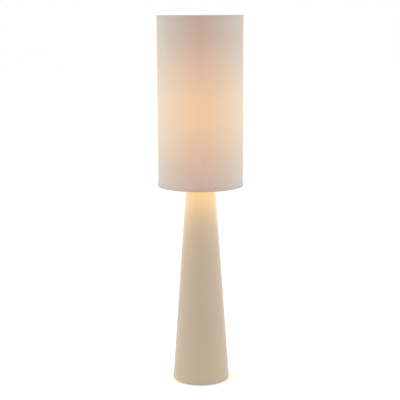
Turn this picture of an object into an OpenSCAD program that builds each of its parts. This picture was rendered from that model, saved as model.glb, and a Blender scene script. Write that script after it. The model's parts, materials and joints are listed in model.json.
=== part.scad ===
// Floor lamp: a tall linen drum shade over a slim painted steel cone.
// Two lampholders stand on a junction box inside the shade, and the shade
// hangs from a three-armed spider on a rod that rises between the bulbs.
// Millimetres, +Z up. The origin is on the floor under the middle of the lamp.
// The front faces -Y, the cord inlet faces +Y and the bulbs stand at -X and +X.

/* [Lamp] */
// Height from the floor to the top of the shade
total_h = 1200; // [1120:5:1400]

/* [Base cone] */
// Height of the cone shell
cone_h = 674; // [620:1:700]
// Outer diameter of the shell at the foot
foot_d = 185.5; // [170:0.5:230]
// Outer diameter of the shell at the top
crown_d = 91.5; // [76:0.5:110]
// Thickness of the steel sheet
cone_wall = 1.2; // [0.8:0.1:2]
// Outer radius of the rolled edges at the foot and the top
edge_r = 3.5; // [2.5:0.5:5]
// Width of the lip that turns in at the foot
lip_w = 6; // [5:0.5:9]
// Width of the flange that turns in at the top
flange_w = 15; // [9:0.5:18]
// Thickness of the ledge ring that is welded inside
ledge_t = 1.5; // [1:0.5:4]
// Width by which the ledge covers the rim of the weight
ledge_cover = 6; // [4:0.5:12]

/* [Top cap] */
// Thickness of the cap's disc
cap_t = 2; // [1.5:0.5:4]
// Distance from the cone's top edge to the cap
cap_inset = 4; // [3.8:0.1:8]
// Depth of the rim that centres the cap in the cone
cap_rim_h = 6; // [3:0.5:12]
// Thickness of that rim
cap_rim_t = 1.5; // [1:0.5:3]
// Rounding of the disc's outer edge
cap_round = 1; // [0.5:0.1:1.4]

/* [Weight and felt] */
// Thickness of the cast weight
weight_t = 22; // [18:1:40]
// Gap between the weight and the lip
weight_gap = 1; // [0.5:0.1:3]
// Diameter of the recess under the weight
recess_d = 34; // [28:1:50]
// Depth of that recess
recess_h = 12; // [11:0.5:15]
// Thickness of the felt
felt_t = 2; // [1:0.5:4]
// Distance from the edge of the weight to the felt
felt_inset = 2; // [1:0.5:8]
// Opening in the middle of the felt
felt_mouth_d = 44; // [36:1:60]

/* [Tie tube and sleeve] */
// Outer diameter of the threaded tube and of the shade rod
tube_d = 10; // [9:0.5:11]
// Bore of the threaded tube
tube_bore = 8; // [7:0.5:8]
// Hexagon nuts, across the flats
nut_af = 17; // [15:0.5:19]
// Hexagon nuts, height
nut_h = 6; // [5:0.5:9]
// Washers, diameter
washer_d = 24; // [20:1:27]
// Washers, thickness
washer_t = 1.6; // [1:0.2:2.5]
// Diameter of the sleeve over the tube
sleeve_d = 18; // [16:0.5:24]
// Wall of the sleeve
sleeve_wall = 1.5; // [1:0.5:2]
// Length of the sleeve
sleeve_l = 62; // [40:1:80]
// Length of the side slot where the flex enters the tube
slot_l = 46; // [36:1:60]
// Width of that slot
slot_w = 6.4; // [5.8:0.1:7]

/* [Junction box] */
// Distance between the two lampholders
span = 90; // [86:1:100]
// Width of the box
box_w = 40; // [40:1:50]
// Height of the tray
tray_h = 28; // [28:0.5:34]
// Height of the lid
lid_h = 6; // [5:0.5:10]
// Wall of the tray and the lid
box_wall = 2; // [1.5:0.5:2.5]
// Diameter of the screw posts under the lid
post_d = 6; // [5:0.5:7]
// Diameter of the box screws
screw_d = 3; // [2.5:0.1:3.5]
// Length of the box screws
box_screw_l = 14; // [12:1:18]
// Height of the window in the coupling where the flex leaves
window_h = 11; // [8:0.5:13]
// Width of that window
window_w = 11; // [8:0.5:12]

/* [Lampholders] */
// Outer diameter of a lampholder
holder_d = 39; // [36:0.5:44]
// Height of its lower part
holder_foot_h = 25; // [23:0.5:30]
// Height of the skirt above that
skirt_h = 32; // [29:0.5:34]
// Wall of the lower part and the skirt
holder_wall = 2; // [1.5:0.1:2.4]
// Diameter of the threaded nipple under it
nipple_d = 10; // [9:0.5:11]
// Bore of that nipple
nipple_bore = 7; // [6.4:0.2:7.6]
// Thickness of the ceramic insert
insert_t = 7; // [5:0.5:8]
// Wall of the metal screw shell
shell_wall = 0.6; // [0.4:0.1:0.8]
// Height of the screw shell
shell_h = 29; // [26:0.5:30]

/* [Bulbs] */
// Diameter of the glass
bulb_d = 60; // [50:1:66]
// Length from the contact to the top of the glass
bulb_l = 108; // [100:1:120]
// Diameter over the threads of the metal cap
thread_d = 26; // [25.5:0.1:26.2]
// Pitch of those threads
thread_pitch = 3.6; // [3.4:0.1:4]
// Wall of the glass
glass_wall = 0.8; // [0.6:0.1:1.5]

/* [Shade] */
// Outer diameter of the linen
shade_d = 276; // [250:1:300]
// Height of the shade
shade_h = 548; // [500:1:560]
// Thickness of the linen
linen_t = 0.6; // [0.4:0.1:1]
// Thickness of the plastic liner
liner_t = 0.5; // [0.3:0.1:1]
// Diameter of the wire rings
wire_d = 4; // [3:0.5:5]
// Width of the edge trim
trim_w = 10; // [8:0.5:16]
// Thickness of the edge trim
trim_t = 0.5; // [0.4:0.1:1]
// Width of the glued seam at the back
seam_w = 12; // [8:1:20]
// Extra thickness of that seam
seam_t = 0.4; // [0.2:0.1:0.4]

/* [Spider] */
// Depth of the hub's top below the top of the shade
hub_drop = 30; // [28:0.5:50]
// Diameter of the hub
hub_d = 38; // [36:1:50]
// Thickness of the hub
hub_t = 2.5; // [2:0.5:5]
// Number of arms
arm_count = 3; // [3:1:6]
// Diameter of the arms
arm_d = 4.5; // [3:0.5:6]
// Distance from the middle to where an arm turns up
arm_turn = 104; // [80:1:106]

/* [Shade nut] */
// Diameter of the knurled nut
knob_d = 22; // [18:0.5:28]
// Height of the knurled nut
knob_h = 15; // [13:0.5:18]
// Depth of its threaded hole
knob_bore_h = 11; // [10:0.5:12]
// Number of grooves round it
knurl_count = 30; // [20:1:40]
// Thickness of the washer that it carries
knob_washer_t = 1.5; // [1:0.1:2.5]
// Diameter of that washer
knob_washer_d = 26; // [22:1:29]

/* [Cord inlet] */
// Height of the inlet above the floor
inlet_z = 44; // [40:1:80]
// Bore of the bush
bush_bore = 6.6; // [6:0.1:8]
// Diameter of the bush's barrel
bush_d = 12; // [11:0.5:14]
// Diameter of its outer flange
bush_flange_d = 18; // [16:0.5:22]
// Thickness of that flange
bush_flange_t = 2.5; // [2:0.1:4]
// Length of the barrel behind the flange
bush_l = 12; // [10:0.5:16]

/* [Inner wiring] */
// Diameter of the flex that runs up the tube
flex_d = 5; // [4.5:0.1:5.6]
// Diameter of a single lead
lead_d = 2; // [1.6:0.1:2.2]

/* [Hidden] */
$fn = 72;

// Gaps: in a thread, in a snug or glued seat, and round what passes or turns freely
thread_gap = 0.08;
snug_gap = 0.1;
fit_gap = 0.3;
// How far a cut runs past the face that it opens
past = 1;

// Levels of the base, from the floor up
foot_z = felt_t;
weight_top = foot_z + weight_t;
crown_z = foot_z + cone_h;
cap_top = crown_z + cap_t;
sleeve_z = cap_top + washer_t;
tray_z = sleeve_z + sleeve_l;
tray_floor = tray_z + box_wall;
tray_top = tray_z + tray_h;
lid_top = tray_top + lid_h;

// Levels of the tie tube and of what is screwed on it
foot_washer_z = foot_z + recess_h - washer_t;
foot_nut_z = foot_washer_z - nut_h;
tube_below = 1.5;
tray_nut_z = tray_floor + washer_t;
coupling_z = tray_nut_z + nut_h;
coupling_boss_h = 8;
coupling_h = 2 * coupling_boss_h + window_h;
coupling_r = 9;
window_z = coupling_z + coupling_boss_h;
tube_top = window_z - 0.5;
rod_z = window_z + window_h + 0.5;

// The cone, whose wall leans in by lean degrees
foot_r = foot_d / 2;
crown_r = crown_d / 2;
lean = atan((foot_r - crown_r) / cone_h);
wall_across = cone_wall / cos(lean);
mouth_r = foot_r - lip_w;
flange_bore_r = crown_r - flange_w;
weight_r = mouth_r - weight_gap;
tube_r = tube_d / 2;
washer_r = washer_d / 2;
function cone_r(z) = foot_r - (foot_r - crown_r) * (z - foot_z) / cone_h;

// The side slot of the tie tube starts this far above the weight
slot_rise = 20;
slot_z = weight_top + slot_rise;

// The bush stands square to the cone's wall
bush_y = cone_r(inlet_z);
bush_r = bush_d / 2;
bush_nut_af = bush_d + 5;
bush_nut_h = 4;
bush_nut_corner = bush_nut_af / sqrt(3);
bush_nut_back = cone_wall + bush_y - sqrt(bush_y ^ 2 - bush_nut_corner ^ 2) + fit_gap;

// Lampholders, measured from the lid up
holder_r = holder_d / 2;
holder_bore_r = holder_r - holder_wall;
nipple_r = nipple_d / 2;
nipple_nut_h = 4;
nipple_nut_af = nipple_d + 4;
nipple_below = box_wall + nipple_nut_h + 2;
nipple_above = 7;
insert_z = holder_foot_h - insert_t - 1;
insert_top = insert_z + insert_t;
insert_r = holder_bore_r - holder_wall;
spigot_h = 4;
skirt_r = holder_r - 1;
skirt_bore_r = insert_r + fit_gap;
shell_bore_r = thread_d / 2 + 0.35;
shell_r = shell_bore_r + shell_wall;
contact_h = 5;
bulb_seat = insert_top + contact_h + fit_gap;

// Parts of a bulb, measured from its contact up
tip_h = 1.6;
tip_r = 4.5;
insulator_h = 6;
cap_metal_h = 27;
thread_r = thread_d / 2;
thread_root_r = thread_r - 0.9;
thread_ridges = 4;
bulb_r = bulb_d / 2;
bulb_mid = bulb_l - bulb_r;
neck_r = thread_r + 0.3;

// The shade
shade_r = shade_d / 2;
shade_z = total_h - shade_h;
linen_bore_r = shade_r - linen_t;
liner_r = linen_bore_r - snug_gap;
liner_bore_r = liner_r - liner_t;
wire_r = wire_d / 2;
ring_r = liner_bore_r - wire_r - snug_gap;
ring_inset = trim_t + wire_r + snug_gap;

// The spider and its nut
hub_r = hub_d / 2;
hub_top = total_h - hub_drop;
hub_z = hub_top - hub_t;
arm_r = arm_d / 2;
arm_start = hub_r - 3;
arm_end = ring_r - 0.5;
arm_z = hub_z + hub_t / 2;
ring_top_z = total_h - ring_inset;
first_arm = 90;
seat_washer_z = hub_z - washer_t;
knob_z = hub_top + knob_washer_t;
rod_top = knob_z + knob_bore_h - 1;

// Blocks that join the wires: three poles side by side
block_pitch = 9;
block_l = 3 * block_pitch;
block_w = 17;
block_bar_h = 9;
block_h = 14;
wire_hole_z = 5;
clamp_y = 4.5;
base_block_y = 46;
tray_block_x = washer_r + 8 + block_w / 2;
fixing_r = 1.25;
earth_reach = 14;
earth_screw_r = 1.5;
earth_x = tray_block_x + block_w / 2 + earth_reach;

// Helpers

// Points of the arc of radius r that rounds the corner b between a and c
function rounding(a, b, c, r, n) =
    let (u = (a - b) / norm(a - b), v = (c - b) / norm(c - b), half = acos(u * v) / 2,
         mid = b + (u + v) / norm(u + v) * r / sin(half),
         p = b + u * r / tan(half) - mid, q = b + v * r / tan(half) - mid,
         from = atan2(p.y, p.x), turn = (atan2(q.y, q.x) - from + 540) % 360 - 180)
    [for (i = [0 : n]) mid + r * [cos(from + turn * i / n), sin(from + turn * i / n)]];

// A closed outline from corners [x, y, radius], with its corners rounded
function outline(corners, n = 5) = [
    for (i = [0 : len(corners) - 1])
        let (k = len(corners), b = corners[i], a = corners[(i + k - 1) % k], c = corners[(i + 1) % k])
        each len(b) > 2 ? rounding([a.x, a.y], [b.x, b.y], [c.x, c.y], b[2], n) : [[b.x, b.y]]
];

// Solid of revolution about Z from an outline of corners
module turned(corners, n = 5) { rotate_extrude() polygon(outline(corners, n)); }

// A flat ring about Z, from z up
module ring(r_out, r_in, z, h) {
    translate([0, 0, z]) difference() {
        cylinder(r = r_out, h = h);
        translate([0, 0, -past]) cylinder(r = r_in, h = h + 2 * past);
    }
}

// A hexagon nut about Z, from z up
module hex_nut(across, bore_r, z, h) {
    translate([0, 0, z]) difference() {
        cylinder(r = across / sqrt(3), h = h, $fn = 6);
        translate([0, 0, -past]) cylinder(r = bore_r, h = h + 2 * past);
    }
}

// A bar with round ends along X, whose end circles are l apart
module stadium(l, r, h) {
    for (side = [-1, 1]) translate([side * l / 2, 0, 0]) cylinder(r = r, h = h);
    translate([-l / 2, -r, 0]) cube([l, 2 * r, h]);
}

// A pan-head screw along Z: the head's underside is at z = 0 and the shank runs down
module pan_screw(r, l) {
    difference() {
        union() {
            translate([0, 0, -l]) cylinder(r = r, h = l + 0.5);
            turned([[0, 0], [1.9 * r, 0], [1.9 * r, 1.2 * r, 0.6 * r], [0, 1.2 * r]]);
        }
        for (turn = [0, 90]) rotate([0, 0, turn])
            translate([-r, -0.2 * r, 0.6 * r]) cube([2 * r, 0.4 * r, r]);
    }
}

// A smooth route through the chosen points, with steps points for each stretch
function smooth(route, steps) = let (last = len(route) - 1) [
    for (i = [0 : last - 1], s = [0 : steps - 1])
        let (t = s / steps, a = route[max(i - 1, 0)], b = route[i], c = route[i + 1],
             d = route[min(i + 2, last)])
        ((c - a) * t + (2 * a - 5 * b + 4 * c - d) * t ^ 2 + (3 * b - a - 3 * c + d) * t ^ 3) / 2 + b,
    route[last]
];

// Direction of a route at point i
function dir(pts, i) =
    let (step = pts[min(i + 1, len(pts) - 1)] - pts[max(i - 1, 0)]) step / norm(step);

// The part of n that is square to t, at length 1
function square_to(n, t) = let (m = n - (n * t) * t) m / norm(m);

// A tube of radius r along the points, as one closed surface
module tube(pts, r, sides = 6) {
    count = len(pts);
    start = square_to(abs(dir(pts, 0).z) < 0.9 ? [0, 0, 1] : [1, 0, 0], dir(pts, 0));
    rings = [
        for (i = 0, n = start; i < count; i = i + 1, n = square_to(n, dir(pts, min(i, count - 1))))
            let (t = dir(pts, i), m = cross(t, n))
            [for (k = [0 : sides - 1]) pts[i] + r * (cos(360 * k / sides) * n + sin(360 * k / sides) * m)]
    ];
    points = [each for (one = rings) one, pts[0], pts[count - 1]];
    faces = [
        for (i = [0 : count - 2], k = [0 : sides - 1])
            let (a = i * sides + k, b = i * sides + (k + 1) % sides)
            each [[a, a + sides, b], [b, a + sides, b + sides]],
        for (k = [0 : sides - 1])
            let (a = k, b = (k + 1) % sides, top = (count - 1) * sides)
            each [[a, b, count * sides], [top + b, top + a, count * sides + 1]]
    ];
    polyhedron(points, faces);
}

// The base

// Steel shell with a lip at the foot, a flange at the top, a welded ledge and the hole of the bush
module base_cone() {
    low = foot_z + cone_wall;
    high = crown_z - cone_wall;
    inner_edge = edge_r - cone_wall;
    color("#cdb99f") difference() {
        union() {
            turned([[mouth_r, foot_z], [foot_r, foot_z, edge_r], [crown_r, crown_z, edge_r],
                    [flange_bore_r, crown_z], [flange_bore_r, high],
                    [cone_r(high) - wall_across, high, inner_edge],
                    [cone_r(low) - wall_across, low, inner_edge], [mouth_r, low]]);
            turned([[weight_r - ledge_cover, weight_top], [cone_r(weight_top) - wall_across / 2, weight_top],
                    [cone_r(weight_top + ledge_t) - wall_across / 2, weight_top + ledge_t],
                    [weight_r - ledge_cover, weight_top + ledge_t]]);
        }
        at_inlet() translate([0, 0, -2 * cone_wall - past])
            cylinder(r = bush_r + snug_gap, h = 3 * cone_wall + 2 * past);
    }
}

// Cap that closes the cone's top, centred by its rim
module top_cap() {
    rim_r = flange_bore_r - fit_gap;
    color("#cdb99f") turned([
        [tube_r + fit_gap, crown_z], [rim_r - cap_rim_t, crown_z], [rim_r - cap_rim_t, crown_z - cap_rim_h],
        [rim_r, crown_z - cap_rim_h], [rim_r, crown_z], [crown_r - cap_inset, crown_z],
        [crown_r - cap_inset, cap_top, cap_round], [tube_r + fit_gap, cap_top]]);
}

// Cast weight with a recess for the foot nut and tapped holes for the wire block
module floor_weight() {
    color("#3b3a38") difference() {
        translate([0, 0, foot_z]) cylinder(r = weight_r, h = weight_t);
        translate([0, 0, foot_z - past]) cylinder(r = tube_r + fit_gap, h = weight_t + 2 * past);
        translate([0, 0, foot_z - past]) cylinder(r = recess_d / 2, h = recess_h + past);
        at_base_block() for (side = [-1, 1]) translate([side * block_pitch / 2, 0, -4])
            cylinder(r = fixing_r + thread_gap, h = 4 + past);
    }
}

// Felt under the weight, on which the lamp stands
module felt_ring() {
    color("#4a443e") ring(weight_r - felt_inset, felt_mouth_d / 2, 0, felt_t);
}

module foot_washer() { color("#a9a9a6") ring(washer_r, tube_r + fit_gap, foot_washer_z, washer_t); }
module foot_nut() { color("#a9a9a6") hex_nut(nut_af, tube_r + thread_gap, foot_nut_z, nut_h); }

// Threaded tube that clamps the weight, the cone, the sleeve and the box together
module tie_tube() {
    low = foot_nut_z - tube_below;
    color("#a9a9a6") difference() {
        ring(tube_r, tube_bore / 2, low, tube_top - low);
        translate([-slot_w / 2, 0, slot_z]) cube([slot_w, tube_r + past, slot_l]);
    }
}

module sleeve_washer() { color("#a9a9a6") ring(washer_r, tube_r + fit_gap, cap_top, washer_t); }

// Sleeve that holds the junction box above the cone
module tube_sleeve() {
    color("#cdb99f") ring(sleeve_d / 2, sleeve_d / 2 - sleeve_wall, sleeve_z, sleeve_l);
}

// Cord inlet

// Places its children at the inlet, with +Z square to the wall and pointing out at the back
module at_inlet() { translate([0, bush_y, inlet_z]) rotate([lean - 90, 0, 0]) children(); }

module cord_bush() {
    color("#2b2a29") at_inlet() difference() {
        union() {
            turned([[0, 0], [bush_flange_d / 2, 0], [bush_flange_d / 2, bush_flange_t, 1], [0, bush_flange_t]]);
            translate([0, 0, -bush_l]) cylinder(r = bush_r, h = bush_l + bush_flange_t / 2);
        }
        translate([0, 0, -bush_l - past])
            cylinder(d = bush_bore, h = bush_l + bush_flange_t + 2 * past);
    }
}

module bush_nut() {
    color("#2b2a29") at_inlet()
        hex_nut(bush_nut_af, bush_r + thread_gap, -bush_nut_back - bush_nut_h, bush_nut_h);
}

// Wiring

// Places its children on the weight behind the tube, with the block's poles along X
module at_base_block() { translate([0, base_block_y, weight_top]) children(); }

// Places its children on the tray's floor beside the coupling, with the block's poles along Y
module at_tray_block() { translate([tray_block_x, 0, tray_floor]) rotate([0, 0, 90]) children(); }

// Block of three poles along X, with its wire holes along Y and its clamp wells on top
module wire_block() {
    difference() {
        union() {
            translate([-block_l / 2, -block_w / 2, 0]) cube([block_l, block_w, block_bar_h]);
            for (pole = [-1 : 1], side = [-1, 1])
                translate([pole * block_pitch, side * clamp_y, block_bar_h / 2])
                    cylinder(r = 3, h = block_h - block_bar_h / 2, $fn = 40);
        }
        for (pole = [-1 : 1]) {
            translate([pole * block_pitch, block_w / 2 + past, wire_hole_z]) rotate([90, 0, 0])
                cylinder(r = 2.4, h = block_w + 2 * past, $fn = 32);
            for (side = [-1, 1]) translate([pole * block_pitch, side * clamp_y, wire_hole_z])
                cylinder(r = 2.1, h = block_h, $fn = 32);
        }
        for (side = [-1, 1]) translate([side * block_pitch / 2, 0, -past])
            cylinder(r = fixing_r + fit_gap, h = block_h, $fn = 32);
    }
}

module base_block() { color("#e9e4d8") at_base_block() wire_block(); }
module tray_block() { color("#e9e4d8") at_tray_block() wire_block(); }

// Two screws hold each block
module fixings() {
    for (side = [-1, 1]) translate([side * block_pitch / 2, 0, block_bar_h])
        pan_screw(fixing_r, block_bar_h + box_wall, $fn = 32);
}

module block_screws() {
    color("#a9a9a6") {
        at_base_block() fixings();
        at_tray_block() fixings();
    }
}

// Six slotted screws clamp the wires in each block
module clamps() {
    for (pole = [-1 : 1], side = [-1, 1])
        translate([pole * block_pitch, side * clamp_y, block_bar_h]) difference() {
            cylinder(r = 1.9, h = 3.5, $fn = 32);
            translate([-2, -0.3, 2.7]) cube([4, 0.6, 2]);
        }
}

module clamp_screws() {
    color("#c9a24b") {
        at_base_block() clamps();
        at_tray_block() clamps();
    }
}

// The flex leaves the base block, enters the tube by its slot and leaves it by the coupling's window
flex_route = [
    [0, 27, weight_top + 8], [0, 22, weight_top + 12], [0, 15, weight_top + 22],
    [0, 8, weight_top + 36], [0, 3, weight_top + 52], [0, 0.5, weight_top + 66], [0, 0, weight_top + 84],
    [0, 0, tube_top - 60], [0, 0, tube_top - 8], [0.3, 0, tube_top],
    [2, 0, tube_top + 3.5], [5, 0, tube_top + 6], [10, 0, tube_top + 6.8], [13, 0, tube_top + 6.5]
];
core_hole = 3;

// A core of the flex from its lower end to pole side of the base block
function base_core(side) = [
    [0.8 * side, 26, weight_top + 9], [3 * side, 29, weight_top + 7],
    [block_pitch * side, 33, weight_top + 5.5],
    [block_pitch * side, base_block_y - block_w / 2, weight_top + wire_hole_z],
    [block_pitch * side, base_block_y - block_w / 2 + core_hole, weight_top + wire_hole_z]
];

// A core of the flex from its upper end to pole side of the tray block
function tray_core(side) =
    let (face = tray_block_x - block_w / 2, low = tray_floor + wire_hole_z) [
    [12, 0.8 * side, tube_top + 6.5], [face - 6, 2.4 * side, tube_top + 5.5],
    [face - 4.2, 6.5 * side, tube_top + 1], [face - 4.8, block_pitch * side, low + 4],
    [face - 3, block_pitch * side, low + 0.5], [face, block_pitch * side, low],
    [face + core_hole, block_pitch * side, low]
];

module inner_flex() {
    color("#d8d4cb") {
        tube(smooth(flex_route, 3), flex_d / 2, 12);
        for (side = [-1 : 1]) {
            tube(smooth(base_core(side), 3), lead_d / 2);
            tube(smooth(tray_core(side), 3), lead_d / 2);
        }
    }
}

// The end of each lead: up the nipple at x and into the insert
function lead_end(x, side) = [
    [x, 4.5 * side, lid_top - nipple_below - 6], [x, 1.5 * side, lid_top - nipple_below],
    [x, 1.4 * side, lid_top], [x, 1.4 * side, lid_top + nipple_above + 1],
    [x, 4.5 * side, lid_top + insert_z - 3], [x, 5 * side, lid_top + insert_z],
    [x, 5 * side, lid_top + insert_z + 3]
];

lead_stack = 1.1;

// The right pair rises straight from the block
function right_route(side) = let (
    face = tray_block_x + block_w / 2, low = tray_floor + wire_hole_z + lead_stack) [
    [face - core_hole, block_pitch * side, low], [face, block_pitch * side, low],
    [face + 4, block_pitch * side, low + 1], [span / 2 + 0.5, 7.5 * side, (low + lid_top - nipple_below) / 2],
    each lead_end(span / 2, side)
];

// The left pair turns back along the tray's long walls
function left_route(side) = let (
    face = tray_block_x + block_w / 2, low = tray_floor + wire_hole_z - lead_stack,
    by_wall = side * (box_w / 2 - box_wall - lead_d / 2 - 1.2)) [
    [face - core_hole, block_pitch * side, low], [face, block_pitch * side, low],
    [face + 3.4, 10 * side, low - 0.4], [face + 4, 13.4 * side, low - 0.8],
    [face - 1, by_wall, low - 1], [tray_block_x, by_wall, low - 1], [0, by_wall, low - 1],
    [20 - span / 2, by_wall - 1.5 * side, low], [6 - span / 2, 8 * side, low + 5],
    each lead_end(-span / 2, side)
];

module left_leads() {
    color("#8a5a3c") for (side = [-1, 1]) tube(smooth(left_route(side), 3), lead_d / 2);
}

module right_leads() {
    color("#8a5a3c") for (side = [-1, 1]) tube(smooth(right_route(side), 3), lead_d / 2);
}

// Earth lead with a ring lug under a screw in the tray's floor
lug_t = 0.8;
lug_r = 3.4;
module earth_lead() {
    face = tray_block_x + block_w / 2;
    low = tray_floor + wire_hole_z;
    color("#7d9a4a") {
        tube(smooth([[face - core_hole, 0, low], [face, 0, low], [face + 4, 0, low - 0.6],
                     [earth_x - 6, 0, tray_floor + 1.8], [earth_x - 3, 0, tray_floor + 1.1]], 3), lead_d / 2);
        translate([earth_x, 0, 0]) ring(lug_r, earth_screw_r + fit_gap, tray_floor, lug_t);
    }
}

module earth_screw() {
    color("#a9a9a6") translate([earth_x, 0, tray_floor + lug_t]) pan_screw(earth_screw_r, box_wall + lug_t);
}

// Junction box

module junction_tray() {
    color("#d9d6d0") translate([0, 0, tray_z]) difference() {
        stadium(span, box_w / 2, tray_h);
        translate([0, 0, box_wall]) stadium(span, box_w / 2 - box_wall, tray_h);
        translate([0, 0, -past]) cylinder(r = tube_r + fit_gap, h = box_wall + 2 * past);
        for (side = [-1, 1]) translate([side * post_x, 0, -past])
            cylinder(r = screw_d / 2 + fit_gap, h = box_wall + 2 * past);
        translate([earth_x, 0, -past]) cylinder(r = earth_screw_r + thread_gap, h = box_wall + 2 * past);
        for (side = [-1, 1]) translate([tray_block_x, side * block_pitch / 2, -past])
            cylinder(r = fixing_r + thread_gap, h = box_wall + 2 * past);
    }
}

// Posts for the box screws stand near the round ends
post_margin = 1.5;
post_x = span / 2 + box_w / 2 - box_wall - post_d / 2 - post_margin;

// Lid with a lip inside the tray and two posts that reach the tray's floor
module junction_lid() {
    lip_r = box_w / 2 - box_wall - snug_gap;
    lip_h = 3;
    post_h = tray_h + lid_h - 1.5 * box_wall - fit_gap;
    color("#d9d6d0") difference() {
        union() {
            translate([0, 0, tray_top]) difference() {
                stadium(span, box_w / 2, lid_h);
                translate([0, 0, -past]) stadium(span, box_w / 2 - box_wall, lid_h - box_wall + past);
            }
            translate([0, 0, tray_top - lip_h]) difference() {
                stadium(span, lip_r, lip_h + lid_h - box_wall / 2);
                translate([0, 0, -past]) stadium(span, lip_r - box_wall, lip_h + lid_h + 2 * past);
            }
            for (side = [-1, 1]) translate([side * post_x, 0, tray_floor + fit_gap])
                cylinder(d = post_d, h = post_h);
        }
        translate([0, 0, tray_top]) cylinder(r = coupling_r + fit_gap, h = lid_h + past);
        for (side = [-1, 1]) {
            translate([side * span / 2, 0, tray_top]) cylinder(r = nipple_r + fit_gap, h = lid_h + past);
            translate([side * post_x, 0, tray_floor - past])
                cylinder(r = screw_d / 2 + thread_gap, h = box_screw_l + box_wall + past);
        }
    }
}

module junction_screws() {
    color("#a9a9a6") for (side = [-1, 1])
        translate([side * post_x, 0, tray_z]) rotate([180, 0, 0]) pan_screw(screw_d / 2, box_screw_l);
}

module tray_washer() { color("#a9a9a6") ring(washer_r, tube_r + fit_gap, tray_floor, washer_t); }
module tray_nut() { color("#a9a9a6") hex_nut(nut_af, tube_r + thread_gap, tray_nut_z, nut_h); }

// Coupling that joins the tube to the shade rod and lets the flex out
module rod_coupling() {
    color("#a9a9a6") difference() {
        ring(coupling_r, tube_r + thread_gap, coupling_z, coupling_h);
        translate([-coupling_r - past, -window_w / 2, window_z])
            cube([2 * (coupling_r + past), window_w, window_h]);
    }
}

// Lampholders

// Places its children on the lid at the left or right lampholder
module at_holder(side) { translate([side * span / 2, 0, lid_top]) children(); }

module nipples() {
    color("#a9a9a6") for (side = [-1, 1])
        at_holder(side) ring(nipple_r, nipple_bore / 2, -nipple_below, nipple_below + nipple_above);
}

module nipple_nuts() {
    color("#a9a9a6") for (side = [-1, 1])
        at_holder(side) hex_nut(nipple_nut_af, nipple_r + thread_gap, -box_wall - nipple_nut_h, nipple_nut_h);
}

module holder_foot(side) {
    bore = nipple_r + thread_gap;
    color("#f1eee6") at_holder(side) turned([
        [bore, 0], [nipple_r + 5, 0, 1], [holder_r, insert_z - 3, 4], [holder_r, holder_foot_h],
        [holder_bore_r, holder_foot_h], [holder_bore_r, insert_z], [insert_r - 2.5, insert_z],
        [insert_r - 3.5, nipple_above + 1], [bore, nipple_above + 1]]);
}

// Ceramic disc with a hole for each lead
module insert(side) {
    color("#f6f3ee") at_holder(side) translate([0, 0, insert_z]) difference() {
        cylinder(r = insert_r, h = insert_t);
        for (y = [-5, 5]) translate([0, y, -past]) cylinder(r = lead_d / 2 + 0.2, h = insert_t + 2 * past);
    }
}

module contact(side) {
    color("#c9a24b") at_holder(side) turned([
        [0, insert_top], [5.5, insert_top], [5.5, insert_top + 1], [3.2, insert_top + 1],
        [3.2, insert_top + contact_h, 1.2], [0, insert_top + contact_h]]);
}

module screw_shell(side) {
    top = insert_top + shell_h;
    color("#c8c4ba") at_holder(side) turned([
        [shell_bore_r - 3, insert_top], [shell_r, insert_top, 1], [shell_r, top], [shell_bore_r, top],
        [shell_bore_r, insert_top + shell_wall], [shell_bore_r - 3, insert_top + shell_wall]]);
}

// Skirt screwed into the lower part, round the screw shell
module skirt(side) {
    top = holder_foot_h + skirt_h;
    spigot_r = holder_bore_r - thread_gap;
    color("#f1eee6") at_holder(side) turned([
        [skirt_bore_r, holder_foot_h - spigot_h], [spigot_r, holder_foot_h - spigot_h],
        [spigot_r, holder_foot_h], [skirt_r, holder_foot_h], [skirt_r, top, 1], [skirt_bore_r, top]]);
}

module left_holder_foot() { holder_foot(-1); }
module left_insert() { insert(-1); }
module left_contact() { contact(-1); }
module left_screw_shell() { screw_shell(-1); }
module left_skirt() { skirt(-1); }
module right_holder_foot() { holder_foot(1); }
module right_insert() { insert(1); }
module right_contact() { contact(1); }
module right_screw_shell() { screw_shell(1); }
module right_skirt() { skirt(1); }

// Bulbs

// Places its children at the contact of the left or right bulb
module at_bulb(side) { at_holder(side) translate([0, 0, bulb_seat]) children(); }

module bulb_tip(side) {
    color("#b9b4a8") at_bulb(side) turned([[0, 0], [tip_r, 0, 1], [tip_r, tip_h], [0, tip_h]]);
}

module bulb_insulator(side) {
    color("#26231f") at_bulb(side) turned([
        [0, tip_h], [tip_r + 0.6, tip_h], [thread_root_r - 0.6, insulator_h], [0, insulator_h]]);
}

// Metal cap with a rolled thread, drawn as ridges of the thread's pitch
module bulb_cap(side) {
    steps = 8;
    low = insulator_h + 1;
    ridges = [for (i = [0 : steps * thread_ridges]) [
        thread_root_r + (thread_r - thread_root_r) * (1 - cos(360 * i / steps)) / 2,
        low + thread_pitch * i / steps
    ]];
    bore = thread_root_r - 0.5;
    color("#b9b4a8") at_bulb(side) rotate_extrude() polygon([
        [bore - 1, insulator_h], [thread_root_r, insulator_h], each ridges,
        [thread_root_r, cap_metal_h - 3], [neck_r, cap_metal_h - 1], [neck_r, cap_metal_h],
        [bore, cap_metal_h], [bore, insulator_h + 1], [bore - 1, insulator_h + 1]
    ]);
}

// Outline of the glass at the given distance inside its outer face: a ball that runs into the neck
function glass_line(inset) = let (
    r = bulb_r - inset, flank = 40,
    on_ball = [r * cos(flank), bulb_mid - r * sin(flank)],
    neck = neck_r - inset,
    corner = [neck, on_ball.y - (on_ball.x - neck) * cos(flank) / sin(flank)]) [
    [neck, cap_metal_h],
    each rounding([neck, cap_metal_h], corner, on_ball, 20 + inset, 6),
    for (i = [0 : 22]) let (a = -flank + (90 + flank) * i / 22) [r * cos(a), bulb_mid + r * sin(a)]
];

module bulb_glass(side) {
    inner = glass_line(glass_wall);
    color("#fbf4e4") at_bulb(side) rotate_extrude()
        polygon([each glass_line(0), each [for (i = [len(inner) - 1 : -1 : 0]) inner[i]]]);
}

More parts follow.
